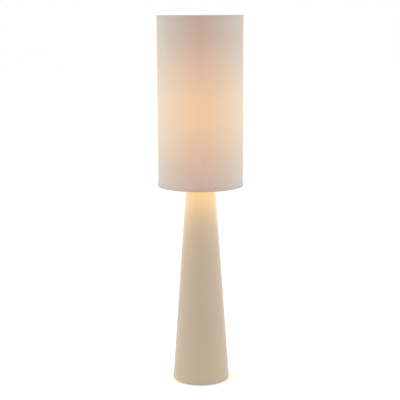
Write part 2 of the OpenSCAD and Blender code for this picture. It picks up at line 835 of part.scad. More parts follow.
// Glass stem on the cap's rim, with two support wires and the filament between their ends
module bulb_filament(side) {
    top = bulb_mid + 4;
    half_w = 13;
    foot = 46;
    flare_r = neck_r - glass_wall - snug_gap;
    color("#d9cfae") at_bulb(side) {
        turned([[0, cap_metal_h], [flare_r, cap_metal_h], [flare_r, cap_metal_h + 1.5],
                [3, cap_metal_h + 6, 3], [3, foot + 4, 1.4], [0, foot + 4]]);
        for (way = [-1, 1])
            translate([2 * way, 0, foot]) rotate([0, way * atan((half_w - 2) / (top - foot)), 0])
                cylinder(r = 0.5, h = norm([half_w - 2, top - foot]), $fn = 16);
        translate([-half_w, 0, top]) rotate([0, 90, 0]) cylinder(r = 0.8, h = 2 * half_w, $fn = 16);
    }
}

module left_bulb_tip() { bulb_tip(-1); }
module left_bulb_insulator() { bulb_insulator(-1); }
module left_bulb_cap() { bulb_cap(-1); }
module left_bulb_glass() { bulb_glass(-1); }
module left_bulb_filament() { bulb_filament(-1); }
module right_bulb_tip() { bulb_tip(1); }
module right_bulb_insulator() { bulb_insulator(1); }
module right_bulb_cap() { bulb_cap(1); }
module right_bulb_glass() { bulb_glass(1); }
module right_bulb_filament() { bulb_filament(1); }

// Shade and its carrier

module shade_rod() { color("#e8e5de") ring(tube_r, tube_bore / 2, rod_z, rod_top - rod_z); }

// Two nuts locked on each other carry the shade
module seat_nuts() {
    color("#a9a9a6") for (level = [1, 2])
        hex_nut(nut_af, tube_r + thread_gap, seat_washer_z - level * (nut_h + snug_gap) + snug_gap, nut_h);
}

module seat_washer() { color("#a9a9a6") ring(washer_r, tube_r + fit_gap, seat_washer_z, washer_t); }

// Places its children at the start of each arm, with +X pointing outwards
module each_arm() {
    for (i = [0 : arm_count - 1]) rotate([0, 0, first_arm + i * 360 / arm_count]) children();
}

// The rising part of an arm, from its turn to the ring, with radius r
module arm_rise(r) {
    run = [arm_end - arm_turn, ring_top_z - arm_z];
    translate([arm_turn, 0, arm_z]) rotate([0, 90 - atan2(run.y, run.x), 0])
        cylinder(r = r, h = norm(run), $fn = 48);
}

// Hub, arms and top ring welded together
module shade_spider() {
    color("#e8e5de") {
        turned([[tube_r + fit_gap, hub_z], [hub_r, hub_z, 0.6], [hub_r, hub_top, 0.6],
                [tube_r + fit_gap, hub_top]]);
        translate([0, 0, ring_top_z]) rotate_extrude() translate([ring_r, 0]) circle(r = wire_r, $fn = 48);
        each_arm() {
            translate([arm_start, 0, arm_z]) rotate([0, 90, 0])
                cylinder(r = arm_r, h = arm_turn - arm_start, $fn = 48);
            translate([arm_turn, 0, arm_z]) sphere(r = arm_r + 0.15, $fn = 48);
            arm_rise(arm_r);
        }
    }
}

module bottom_ring() {
    color("#e8e5de") translate([0, 0, shade_z + ring_inset])
        rotate_extrude() translate([ring_r, 0]) circle(r = wire_r, $fn = 48);
}

// Linen drum with a glued seam up the back, between the trims
module shade_linen() {
    seam_low = shade_z + trim_w + fit_gap;
    seam_turn = seam_w / shade_r * 180 / PI;
    color("#e3cdb2") {
        ring(shade_r, linen_bore_r, shade_z + trim_t, shade_h - 2 * trim_t);
        rotate([0, 0, 90 - seam_turn / 2]) translate([0, 0, seam_low]) rotate_extrude(angle = seam_turn)
            translate([shade_r - linen_t / 2, 0])
                square([linen_t / 2 + seam_t, shade_h - 2 * trim_w - 2 * fit_gap]);
    }
}

module shade_liner() {
    color("#fbf3e2") ring(liner_r, liner_bore_r, shade_z + trim_t, shade_h - 2 * trim_t);
}

// Tape folded over one edge of the linen and round the wire, from z up or down
module trim(z, way) {
    leg_r = ring_r - wire_r - snug_gap;
    leg_h = trim_t + wire_d + 2 * snug_gap;
    skin_r = shade_r + snug_gap;
    color("#dcc8ae") rotate_extrude() polygon([
        [leg_r - trim_t, z], [skin_r + trim_t, z], [skin_r + trim_t, z + way * trim_w],
        [skin_r, z + way * trim_w], [skin_r, z + way * trim_t], [leg_r, z + way * trim_t],
        [leg_r, z + way * leg_h], [leg_r - trim_t, z + way * leg_h]]);
}

// The top tape is notched round the arms
module top_trim() {
    difference() {
        trim(total_h, -1);
        each_arm() arm_rise(arm_r + fit_gap);
    }
}

module bottom_trim() { trim(shade_z, 1); }

module knob_washer() { color("#b9b4a8") ring(knob_washer_d / 2, tube_r + thread_gap, hub_top, knob_washer_t); }

// Knurled nut with a blind threaded hole
module shade_knob() {
    knob_r = knob_d / 2;
    top = knob_z + knob_h;
    color("#b9b4a8") difference() {
        turned([[0, knob_z], [knob_r, knob_z, 0.8], [knob_r, top, 2], [0, top]]);
        translate([0, 0, knob_z - past]) cylinder(r = tube_r + thread_gap, h = knob_bore_h + past);
        for (i = [0 : knurl_count - 1]) rotate([0, 0, 360 * i / knurl_count])
            translate([knob_r, 0, knob_z + 1.6]) rotate([0, 0, 45])
                translate([-0.5, -0.5, 0]) cube([1, 1, knob_h - 5]);
    }
}

base_cone();
top_cap();
floor_weight();
felt_ring();
foot_washer();
foot_nut();
tie_tube();
sleeve_washer();
tube_sleeve();
cord_bush();
bush_nut();
base_block();
tray_block();
block_screws();
clamp_screws();
inner_flex();
left_leads();
right_leads();
earth_lead();
earth_screw();
junction_tray();
junction_lid();
junction_screws();
tray_washer();
tray_nut();
rod_coupling();
nipples();
nipple_nuts();
left_holder_foot();
left_insert();
left_contact();
left_screw_shell();
left_skirt();
right_holder_foot();
right_insert();
right_contact();
right_screw_shell();
right_skirt();
left_bulb_tip();
left_bulb_insulator();
left_bulb_cap();
left_bulb_glass();
left_bulb_filament();
right_bulb_tip();
right_bulb_insulator();
right_bulb_cap();
right_bulb_glass();
right_bulb_filament();
shade_rod();
seat_nuts();
seat_washer();
shade_spider();
bottom_ring();
shade_linen();
shade_liner();
top_trim();
bottom_trim();
knob_washer();
shade_knob();
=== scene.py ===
"""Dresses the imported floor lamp: a linen drum shade over a slim steel cone, with its bulbs and fittings.

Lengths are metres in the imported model's frame: +Z is up, the front faces -Y, and the origin is on the
floor under the middle of the lamp.
"""

from __future__ import annotations

import json
import logging
import math
from contextlib import contextmanager
from dataclasses import dataclass
from enum import Enum
from functools import lru_cache
from typing import Any, Callable, Iterable, Iterator, Sequence, Union

import bmesh
import bpy
from mathutils import Matrix, Vector


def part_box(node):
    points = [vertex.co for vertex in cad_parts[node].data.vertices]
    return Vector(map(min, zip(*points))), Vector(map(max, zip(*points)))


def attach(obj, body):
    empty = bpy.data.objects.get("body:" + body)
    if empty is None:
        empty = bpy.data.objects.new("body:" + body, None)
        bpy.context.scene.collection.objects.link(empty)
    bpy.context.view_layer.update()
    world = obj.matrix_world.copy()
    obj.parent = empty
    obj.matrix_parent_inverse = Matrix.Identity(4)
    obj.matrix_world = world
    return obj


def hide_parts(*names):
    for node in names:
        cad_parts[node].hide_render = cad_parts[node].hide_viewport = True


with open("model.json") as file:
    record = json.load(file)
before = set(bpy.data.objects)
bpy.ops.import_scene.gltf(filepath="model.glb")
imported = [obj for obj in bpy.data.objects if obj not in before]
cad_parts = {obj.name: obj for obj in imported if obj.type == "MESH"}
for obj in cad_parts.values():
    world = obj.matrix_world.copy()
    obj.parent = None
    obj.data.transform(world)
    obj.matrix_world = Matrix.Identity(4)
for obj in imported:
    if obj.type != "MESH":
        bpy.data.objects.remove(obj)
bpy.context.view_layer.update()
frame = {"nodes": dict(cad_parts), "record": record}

LOG = logging.getLogger("floor_lamp")
MM = 0.001
TURN = 2 * math.pi
AXIS = Vector((0, 0, 0))
BLACKNESS = (0.0, 0.0, 0.0)
WHITENESS = (1.0, 1.0, 1.0)

# Points nearer than WELD are one, and edges sharper than SHARP degrees stay sharp. TAPPED is the radius of a
# hole that takes the tube's thread, and CLEAR of one that the tube slips through.
WELD = 0.02 * MM
SHARP = 32.0
TAPPED = 5.08 * MM
CLEAR = 5.3 * MM

Colour = tuple[float, float, float]
Station = tuple[float, float]
Corner = tuple[float, float, float]
Element = Union[bmesh.types.BMVert, bmesh.types.BMEdge, bmesh.types.BMFace]


class Ends(Enum):
    """How the ends of a turned profile are finished."""

    OPEN = "open"
    CAPPED = "capped"
    LOOP = "loop"


class Side(Enum):
    """One of the two lampholders."""

    LEFT = "left"
    RIGHT = "right"


# Shader maths


class Signal:
    """A shader socket that takes part in Python arithmetic."""

    def __init__(self, graph: Graph, socket: bpy.types.NodeSocket) -> None:
        """Wrap an output socket of a graph."""
        self.graph = graph
        self.socket = socket

    def math(self, operation: str, *others: Value) -> Signal:
        """Return the result of a Math node on this signal and others."""
        return self.graph.node("ShaderNodeMath", {"operation": operation}, self, *others)

    def __add__(self, other: Value) -> Signal:
        """Add a number or signal."""
        return self.math("ADD", other)

    def __mul__(self, other: Value) -> Signal:
        """Multiply by a number or signal."""
        return self.math("MULTIPLY", other)

    def __sub__(self, other: Value) -> Signal:
        """Subtract a number or signal."""
        return self.math("SUBTRACT", other)

    def __rsub__(self, other: float) -> Signal:
        """Subtract this signal from a number."""
        return self.graph.node("ShaderNodeMath", {"operation": "SUBTRACT"}, other, self)

    def __truediv__(self, other: Value) -> Signal:
        """Divide by a number or signal."""
        return self.math("DIVIDE", other)

    def __pow__(self, other: Value) -> Signal:
        """Raise to a power."""
        return self.math("POWER", other)

    def __abs__(self) -> Signal:
        """Return the size without its sign."""
        return self.math("ABSOLUTE")

    def __gt__(self, other: Value) -> Signal:
        """Return 1 where this signal is greater, and 0 elsewhere."""
        return self.math("GREATER_THAN", other)

    __radd__ = __add__
    __rmul__ = __mul__

    def wave(self, length: float) -> Signal:
        """Return the sine of this signal, one period for each length."""
        return (self * (TURN / length)).math("SINE")

    def bell(self, centre: float, spread: float) -> Signal:
        """Return a bell curve of this signal, 1 at the centre."""
        offset = (self - centre) / spread
        return (offset * offset * -0.5).math("EXPONENT")

    def between(self, low: Value, high: Value) -> Signal:
        """Return this 0 to 1 signal stretched to run from low to high."""
        return self.graph.node("ShaderNodeMapRange", {}, self, 0.0, 1.0, low, high)


Value = Union[float, Signal, Sequence[float]]


class Graph:
    """Adds nodes to a tree and feeds their sockets."""

    def __init__(self, tree: bpy.types.NodeTree) -> None:
        """Wrap a node tree."""
        self.tree = tree

    def node(self, kind: str, settings: dict[str, Any], *values: Value, out: int = 0,
             **named: Value) -> Signal:
        """Add a node.

        Args:
            kind: the node's type.
            settings: its own settings, which are set first.
            values: values or signals of its first sockets, in order.
            out: which output to return.
            named: values or signals of sockets by name, with _ for a space.

        Returns:
            The chosen output.
        """
        made = self.tree.nodes.new(kind)
        for name, value in settings.items():
            setattr(made, name, value)
        for socket, value in zip(made.inputs, values):
            self.feed(socket, value)
        for name, value in named.items():
            self.feed(made.inputs[name.replace("_", " ")], value)
        return Signal(self, made.outputs[out])

    def feed(self, socket: bpy.types.NodeSocket, value: Value) -> None:
        """Link a signal to a socket, or set its value.

        Args:
            socket: an input socket of the tree.
            value: a signal, a number, or the parts of a vector or colour.
        """
        if isinstance(value, Signal):
            self.tree.links.new(value.socket, socket)
        elif socket.type == "RGBA" and len(value) == 3:
            socket.default_value = (*value, 1.0)
        else:
            socket.default_value = value

    def split(self, vector: Signal) -> tuple[Signal, Signal, Signal]:
        """Return the three parts of a vector."""
        parts = self.node("ShaderNodeSeparateXYZ", {}, vector).socket.node.outputs
        return tuple(Signal(self, part) for part in parts)

    def join(self, x: Value, y: Value, z: Value) -> Signal:
        """Return a vector from its three parts."""
        return self.node("ShaderNodeCombineXYZ", {}, x, y, z)

    def noise(self, vector: Signal, scale: float, detail: float = 2.0, roughness: float = 0.5) -> Signal:
        """Return smooth noise from 0 to 1."""
        return self.node("ShaderNodeTexNoise", {}, Vector=vector, Scale=scale, Detail=detail,
                         Roughness=roughness)

    def blend(self, mask: Value, low: Value, high: Value) -> Signal:
        """Mix two colours.

        Args:
            mask: share of the second colour, from 0 to 1.
            low: colour where the mask is 0.
            high: colour where the mask is 1.

        Returns:
            The mixed colour.
        """
        made = self.tree.nodes.new("ShaderNodeMix")
        made.data_type = "RGBA"
        for index, value in ((0, mask), (6, low), (7, high)):
            self.feed(made.inputs[index], value)
        return Signal(self, made.outputs[2])

    def tint(self, strength: Signal, colour: Colour) -> Signal:
        """Return a colour scaled by a signal."""
        return self.blend(strength, BLACKNESS, colour)


class Paint(Graph):
    """Builds the material of one finish round its Principled shader."""

    def __init__(self, name: str) -> None:
        """Start the material.

        Args:
            name: the material's name.
        """
        self.material = bpy.data.materials.new(name)
        self.material.use_nodes = True
        super().__init__(self.material.node_tree)
        self.shader = self.tree.nodes["Principled BSDF"]

    def spot(self) -> Signal:
        """Return the surface point in the lamp's frame."""
        return self.node("ShaderNodeTexCoord", {}, out=3)

    def slant(self) -> Signal:
        """Return the share of a painted sheen by viewing angle: 0 seen face on, 1 at a grazing angle."""
        facing = self.node("ShaderNodeLayerWeight", {}, 0.5, out=1)
        return (facing * (2 - facing)) ** 0.5

    def bump(self, height: Signal, depth: float, strength: float = 1.0) -> None:
        """Let a height signal shape the surface, depth metres deep."""
        made = self.node("ShaderNodeBump", {}, Strength=strength, Distance=depth, Height=height)
        self.set(Normal=made)

    def set(self, **sockets: Value) -> None:
        """Set the shader's sockets by name, with _ for a space."""
        for name, value in sockets.items():
            self.feed(self.shader.inputs[name.replace("_", " ")], value)


# Finishes


def shaded(colour: Colour, share: float) -> Colour:
    """Return a share of a colour, no brighter than white."""
    return tuple(min(1.0, part * share) for part in colour)


@dataclass(frozen=True)
class Finish:
    """What a piece is woven of, cast in or coated with."""

    name: str

    def make(self) -> bpy.types.Material:
        """Return the material."""
        paint = Paint(self.name)
        self.coat(paint, paint.spot())
        return paint.material

    def coat(self, paint: Paint, spot: Signal) -> None:
        """Set the shader from the surface point, in each finish's own way.

        Args:
            paint: the material in the making.
            spot: the surface point.
        """
        raise NotImplementedError


@dataclass(frozen=True)
class Glow:
    """Warm light of the bulbs that comes through the shade: a bell curve over the height."""

    height: float = 0.9
    spread: float = 0.13
    colour: Colour = (0.36, 0.19, 0.028)

    def over(self, paint: Paint, z: Signal, through: Signal) -> Signal:
        """Return the light that the cloth gives off.

        Args:
            paint: the finish that glows.
            z: height of the surface point.
            through: how much light the threads let through, about 1.

        Returns:
            The colour of the light.
        """
        return paint.tint(z.bell(self.height, self.spread) * through, self.colour)


@dataclass(frozen=True)
class Linen(Finish):
    """Plain woven linen with slubs, laid along the piece's own map of metres round and up."""

    name: str = "linen"
    pale: Colour = (0.56, 0.415, 0.36)
    deep: Colour = (0.40, 0.28, 0.235)
    # The next three values paint a pale sheen over the cloth at a grazing angle, and dim its glow there.
    bloom: Colour = (0.50, 0.53, 0.505)
    fuzz: float = 0.62
    veil: float = 0.4
    contrast: float = 1.7
    thread: float = 0.9 * MM
    slub: float = 2.2 * MM
    run: float = 55 * MM
    glow: Glow = Glow()
    relief: float = 0.12 * MM

    def coat(self, paint: Paint, spot: Signal) -> None:
        """Weave the cloth, paint a pale sheen over it at a grazing angle, and let it glow where the bulbs
        stand.

        Args:
            paint: the material in the making.
            spot: the surface point.
        """
        across, along, _ = paint.split(paint.node("ShaderNodeUVMap", {"uv_map": "cloth"}))
        _, _, z = paint.split(spot)
        warp_wave = across.wave(2 * self.thread)
        weft_wave = along.wave(2 * self.thread)
        bulge = abs(warp_wave) * abs(weft_wave)
        over = (warp_wave * weft_wave) > 0.0
        warp_slub = paint.noise(paint.join(across / self.slub, along / self.run, 0.0), 1.0)
        weft_slub = paint.noise(paint.join(across / self.run, along / self.slub, 7.0), 1.0)
        cloud = paint.noise(paint.join(across, along, 3.0), 9.0, 3.0)
        slubs = warp_slub * 0.45 + weft_slub * 0.55
        # Painted sheen: the colour turns pale toward a grazing angle.
        sheen_share = paint.slant() * self._nap(z)
        body = slubs * self.contrast + cloud * 0.5 - 0.62 + (bulge - 0.4) * 0.18 + over * 0.05
        woven = paint.blend(body, self.deep, self.pale)
        paint.set(
            Base_Color=paint.blend(sheen_share, self._dyed(paint, woven, z), self.bloom),
            Roughness=slubs.between(0.78, 0.92),
            Specular_IOR_Level=0.25,
            Sheen_Weight=0.1,
            Sheen_Roughness=0.5,
            Emission_Color=self.glow.over(paint, z, (1.28 - slubs * 0.56) * (1 - sheen_share * self.veil)),
            Emission_Strength=1.0,
        )
        paint.bump(bulge * 0.7 + slubs * 0.6, self.relief, 0.7)

    def _dyed(self, paint: Paint, cloth: Signal, z: Signal) -> Signal:
        """Return the cloth's colour under the painted sheen: here, just its threads'."""
        return cloth

    def _nap(self, z: Signal) -> Value:
        """Return how strong the painted sheen is: here, the same all over."""
        return self.fuzz


@dataclass(frozen=True)
class Tape(Linen):
    """The same linen as a tape over a rim, with painted shade along its fold and a painted shadow line at
    its edge.
    """

    name: str = "trim_tape"
    slub: float = 1.4 * MM
    run: float = 20 * MM
    rim: float = 0.0
    # Colour and spread of the painted shade along the fold.
    rubbed: Colour = (0.44, 0.43, 0.46)
    rub: float = 1.7 * MM
    width: float = 10 * MM
    # Width and strength of a painted shadow line at the tape's edge.
    press: float = 0.8 * MM
    crease: float = 0.0

    def _dyed(self, paint: Paint, cloth: Signal, z: Signal) -> Signal:
        """Return the cloth's colour, greyed along the fold as painted shade, with a painted shadow line at
        the tape's edge.
        """
        away = abs(z - self.rim)
        # Painted shade along the fold, then a painted shadow line where the tape's edge meets the linen.
        worn = paint.blend(away.bell(0.0, self.rub), cloth, self.rubbed)
        return paint.blend(away.bell(self.width - self.press, self.press) * self.crease, worn, self.deep)

    def _nap(self, z: Signal) -> Value:
        """Return how strong the painted sheen is, with most of it taken off along the fold."""
        return self.fuzz * (1 - abs(z - self.rim).bell(0.0, self.rub) * 0.85)


@dataclass(frozen=True)
class Liner(Finish):
    """Translucent sheet behind the linen, lit by the bulbs."""

    name: str = "liner"
    colour: Colour = (0.86, 0.80, 0.70)
    glow: Glow = Glow(colour=(0.34, 0.235, 0.13), spread=0.2)

    def coat(self, paint: Paint, spot: Signal) -> None:
        """Cloud the sheet, and let it glow where the bulbs stand.

        Args:
            paint: the material in the making.
            spot: the surface point.
        """
        _, _, z = paint.split(spot)
        cloud = paint.noise(spot, 14.0, 3.0)
        paint.set(
            Base_Color=paint.blend(cloud, self.colour, shaded(self.colour, 1.06)),
            Roughness=cloud.between(0.42, 0.55),
            Emission_Color=self.glow.over(paint, z, cloud.between(0.95, 1.05)),
            Emission_Strength=1.0,
        )


@dataclass(frozen=True)
class PowderCoat(Finish):
    """Matt powder coat: a fine orange-peel grain over an even colour."""

    colour: Colour
    grain: float = 1.1 * MM
    relief: float = 0.02 * MM
    matt: float = 0.52
    dust: float = 0.3

    def coat(self, paint: Paint, spot: Signal) -> None:
        """Give the colour its orange-peel grain and a little dust.

        Args:
            paint: the material in the making.
            spot: the surface point.
        """
        peel = paint.noise(spot, 1 / self.grain, 1.5)
        cloud = paint.noise(spot, 6.0, 3.0)
        mottle = cloud * 0.7 + peel * 0.3
        paint.set(
            Base_Color=paint.blend(mottle, shaded(self.colour, 0.965), shaded(self.colour, 1.03)),
            Roughness=(peel * 0.4 + cloud * 0.6).between(self.matt - 0.05, self.matt + 0.06),
            Specular_IOR_Level=0.5,
            Sheen_Weight=self.dust,
            Sheen_Roughness=0.55,
        )
        paint.bump(peel, self.relief, 0.5)


@dataclass(frozen=True)
class Moulded(Finish):
    """Plastic, ceramic or rubber with a fine moulded grain."""

    colour: Colour
    roughness: float = 0.4
    grain: float = 0.8 * MM
    relief: float = 0.01 * MM

    def coat(self, paint: Paint, spot: Signal) -> None:
        """Give the colour its grain.

        Args:
            paint: the material in the making.
            spot: the surface point.
        """
        grain = paint.noise(spot, 1 / self.grain, 2.0)
        cloud = paint.noise(spot, 40.0, 2.0)
        paint.set(
            Base_Color=paint.blend(cloud, shaded(self.colour, 0.93), self.colour),
            Roughness=grain.between(self.roughness - 0.06, self.roughness + 0.08),
        )
        paint.bump(grain, self.relief, 0.4)


@dataclass(frozen=True)
class Plated(Finish):
    """Plated or turned metal with fine lines round its axis."""

    colour: Colour
    roughness: float = 0.3
    line: float = 0.35 * MM

    def coat(self, paint: Paint, spot: Signal) -> None:
        """Draw fine lines round the axis and smear the gloss.

        Args:
            paint: the material in the making.
            spot: the surface point.
        """
        x, y, z = paint.split(spot)
        lines = paint.noise(paint.join(x * 6.0, y * 6.0, z / self.line), 1.0, 2.0)
        smear = paint.noise(spot, 60.0, 3.0)
        paint.set(
            Base_Color=paint.blend(smear, shaded(self.colour, 0.85), self.colour),
            Metallic=1.0,
            Roughness=(lines * 0.6 + smear * 0.4).between(self.roughness - 0.1, self.roughness + 0.14),
        )
        paint.bump(lines, 0.01 * MM, 0.35)


@dataclass(frozen=True)
class Cast(Finish):
    """Rough casting with pits."""

    colour: Colour

    def coat(self, paint: Paint, spot: Signal) -> None:
        """Roughen the skin and stain it.

        Args:
            paint: the material in the making.
            spot: the surface point.
        """
        skin = paint.noise(spot, 420.0, 4.0, 0.62)
        stain = paint.noise(spot, 22.0, 3.0)
        paint.set(
            Base_Color=paint.blend(stain, shaded(self.colour, 0.6), self.colour),
            Roughness=skin.between(0.5, 0.8),
            Metallic=0.35,
        )
        paint.bump(skin, 0.25 * MM, 0.7)


@dataclass(frozen=True)
class Felt(Finish):
    """Pressed felt with loose fibres."""

    colour: Colour

    def coat(self, paint: Paint, spot: Signal) -> None:
        """Press the fibres and clumps.

        Args:
            paint: the material in the making.
            spot: the surface point.
        """
        fibre = paint.noise(spot, 900.0, 4.0, 0.7)
        clump = paint.noise(spot, 130.0, 3.0)
        pile = fibre * 0.6 + clump * 0.4
        paint.set(
            Base_Color=paint.blend(pile, shaded(self.colour, 0.6), shaded(self.colour, 1.3)),
            Roughness=fibre.between(0.88, 1.0),
            Sheen_Weight=0.4,
        )
        paint.bump(pile, 0.4 * MM, 0.8)


@dataclass(frozen=True)
class Opal(Finish):
    """Opal glass of a lit bulb: brightest round the filament and dimmer at the neck."""

    middle: float
    spread: float = 0.026
    skin: Colour = (0.62, 0.58, 0.52)
    light: Colour = (1.0, 0.82, 0.56)
    power: float = 0.8

    def coat(self, paint: Paint, spot: Signal) -> None:
        """Light the glass from its middle.

        Args:
            paint: the material in the making.
            spot: the surface point.
        """
        _, _, z = paint.split(spot)
        haze = paint.noise(spot, 55.0, 2.0)
        paint.set(
            Base_Color=paint.blend(haze, shaded(self.skin, 0.97), self.skin),
            Roughness=haze.between(0.16, 0.26),
            Coat_Weight=0.3,
            Emission_Color=paint.tint(z.bell(self.middle, self.spread).between(0.2, 1.0), self.light),
            Emission_Strength=self.power,
        )


# Modelling by hand


def deselect() -> None:
    """Deselect every object."""
    bpy.ops.object.select_all(action="DESELECT")


def choose(piece: bpy.types.Object) -> None:
    """Make a piece the only selected one and the active one."""
    deselect()
    piece.select_set(True)
    bpy.context.view_layer.objects.active = piece


def stand(node: str) -> tuple[float, float, float]:
    """Return the radius of a round CAD node and the heights of its foot and top."""
    low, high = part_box(node)
    return (high.x - low.x) / 2, low.z, high.z


@contextmanager
def editing(piece: bpy.types.Object, mode: str = "FACE") -> Iterator[bmesh.types.BMesh]:
    """Open a piece in edit mode with nothing selected.

    Args:
        piece: the piece to edit.
        mode: VERT, EDGE or FACE.

    Yields:
        The piece's edit mesh, on which faces and edges are selected by their place.
    """
    choose(piece)
    bpy.ops.object.mode_set(mode="EDIT")
    bpy.ops.mesh.select_mode(type=mode)
    bpy.ops.mesh.select_all(action="DESELECT")
    yield bmesh.from_edit_mesh(piece.data)
    bpy.ops.object.mode_set(mode="OBJECT")


def select(piece: bpy.types.Object, elements: Iterable[Element], wanted: Callable[[Element], bool]) -> None:
    """Select parts of an edit mesh.

    Args:
        piece: the piece in edit mode.
        elements: its vertices, edges or faces.
        wanted: tells whether one of them is selected.
    """
    for element in elements:
        element.select_set(wanted(element))
    bmesh.update_edit_mesh(piece.data)


def extrude(x: float, y: float, z: float) -> None:
    """Extrude the selected edges by a step."""
    bpy.ops.mesh.extrude_edges_move(TRANSFORM_OT_translate={"value": (x, y, z)})


def close_ends() -> None:
    """Fill the open ends of the mesh in edit mode, and turn its faces outwards."""
    bpy.ops.mesh.select_all(action="DESELECT")
    bpy.ops.mesh.select_non_manifold()
    bpy.ops.mesh.fill_holes(sides=0)
    bpy.ops.mesh.select_all(action="SELECT")
    bpy.ops.mesh.normals_make_consistent(inside=False)


def settle(piece: bpy.types.Object, name: str) -> bpy.types.Object:
    """Name a new primitive and move its place into its mesh.

    Args:
        piece: the primitive, still selected.
        name: the piece's name.

    Returns:
        The same piece.
    """
    piece.name = name
    piece.data.name = name
    bpy.ops.object.transform_apply(location=True, rotation=True, scale=True)
    return piece


def smooth(piece: bpy.types.Object, angle: float = SHARP) -> None:
    """Shade a piece smooth.

    Args:
        piece: the piece to shade.
        angle: angle in degrees over which an edge stays sharp.
    """
    choose(piece)
    bpy.ops.object.shade_smooth_by_angle(angle=math.radians(angle))


def apply_modifier(piece: bpy.types.Object, kind: str, **settings: Any) -> None:
    """Add a modifier to a piece and apply it.

    Args:
        piece: the piece to change.
        kind: the modifier's type.
        settings: its settings by name.
    """
    choose(piece)
    made = piece.modifiers.new(kind.title(), kind)
    for name, value in settings.items():
        setattr(made, name, value)
    bpy.ops.object.modifier_apply(modifier=made.name)


def combine(piece: bpy.types.Object, tool: bpy.types.Object, operation: str, sharp: float = SHARP) -> None:
    """Cut a tool from a piece, weld it on or keep what they share, and remove the tool.

    Args:
        piece: the piece to change.
        tool: a closed mesh.
        operation: DIFFERENCE, UNION or INTERSECT.
        sharp: angle in degrees over which an edge stays sharp.
    """
    apply_modifier(piece, "BOOLEAN", operation=operation, object=tool, solver="EXACT")
    bpy.data.objects.remove(tool)
    smooth(piece, sharp)


def cylinder(name: str, radius: float, low: float, high: float, x: float = 0.0, y: float = 0.0,
             sides: int = 48, turn: float = 0.0) -> bpy.types.Object:
    """Make an upright cylinder to cut or weld with.

    Args:
        name: the piece's name.
        radius: its radius, or a prism's distance from the axis to a corner.
        low: height of its foot.
        high: height of its top.
        x, y: place of its axis.
        sides: how many sides it has.
        turn: angle that it is turned about its axis, in radians.

    Returns:
        The cylinder.
    """
    deselect()
    bpy.ops.mesh.primitive_cylinder_add(vertices=sides, radius=radius, depth=high - low,
                                        location=(x, y, (low + high) / 2), rotation=(0, 0, turn))
    return settle(bpy.context.object, name)


def drill(piece: bpy.types.Object, radius: float, low: float, high: float, *spots: Station) -> None:
    """Drill upright holes of one radius through a piece, from low to high, at (x, y) spots."""
    for x, y in spots:
        combine(piece, cylinder("drill", radius, low, high, x, y), "DIFFERENCE")


def rounded(corners: Sequence[Corner], steps: int = 4, closed: bool = True) -> list[Station]:
    """Round the corners of a profile.

    Args:
        corners: (radius, height, rounding) of each corner.
        steps: arc steps of a rounded corner.
        closed: whether the profile returns to its start.

    Returns:
        (radius, height) stations for the lathe.
    """
    line: list[Station] = []
    last = len(corners) - 1
    for index, (radius, height, fillet) in enumerate(corners):
        here = Vector((radius, height))
        if fillet <= 0 or (not closed and index in (0, last)):
            line.append((radius, height))
            continue
        before = (Vector(corners[index - 1][:2]) - here).normalized()
        after = (Vector(corners[(index + 1) % len(corners)][:2]) - here).normalized()
        half = before.angle(after) / 2
        middle = here + (before + after).normalized() * (fillet / math.sin(half))
        start = here + before * (fillet / math.tan(half)) - middle
        end = here + after * (fillet / math.tan(half)) - middle
        turn = start.angle_signed(end)
        for step in range(steps + 1):
            angle = math.atan2(start.y, start.x) - turn * step / steps
            line.append((middle.x + fillet * math.cos(angle), middle.y + fillet * math.sin(angle)))
    if closed:
        line.append(line[0])
    return line


def lathe(name: str, line: Sequence[Station], at: Vector = AXIS, sides: int = 96, ends: Ends = Ends.LOOP,
          sharp: float = SHARP) -> bpy.types.Object:
    """Turn a profile about a vertical axis: a ring is extruded and scaled from station to station.

    Args:
        name: the piece's name.
        line: (radius, height) stations; a last radius of 0 closes the piece at a pole.
        at: foot of the axis.
        sides: sides of the ring.
        ends: how the first and last rings are finished.
        sharp: angle in degrees over which an edge stays sharp.

    Returns:
        The piece, with its normals outwards.
    """
    radius, height = line[0]
    deselect()
    bpy.ops.mesh.primitive_circle_add(vertices=sides, radius=radius, location=at + Vector((0, 0, height)))
    piece = settle(bpy.context.object, name)
    bpy.ops.object.mode_set(mode="EDIT")
    bpy.ops.mesh.select_mode(type="EDGE")
    bpy.ops.mesh.select_all(action="SELECT")
    for next_radius, next_height in line[1:]:
        extrude(0, 0, next_height - height)
        if next_radius > 0:
            scale = next_radius / radius
            middle = at + Vector((0, 0, next_height))
            bpy.ops.transform.resize(value=(scale, scale, 1), center_override=middle)
        else:
            bpy.ops.mesh.merge(type="CENTER")
        radius, height = next_radius, next_height
    bpy.ops.mesh.select_all(action="SELECT")
    bpy.ops.mesh.remove_doubles(threshold=WELD)
    if ends is Ends.CAPPED:
        close_ends()
    else:
        bpy.ops.mesh.normals_make_consistent(inside=False)
    bpy.ops.object.mode_set(mode="OBJECT")
    smooth(piece, sharp)
    return piece


def washer(node: str, bore: float) -> bpy.types.Object:
    """Make a punched washer with soft edges.

    Args:
        node: the CAD node whose place it takes.
        bore: radius of its hole.

    Returns:
        The washer.
    """
    outer, low, high = stand(node)
    punched, worn = 0.2 * MM, 0.35 * MM
    return lathe(f"{node}_piece", rounded([
        (bore, low, punched),
        (outer, low, worn),
        (outer, high, worn),
        (bore, high, punched),
    ], steps=3), sides=64)


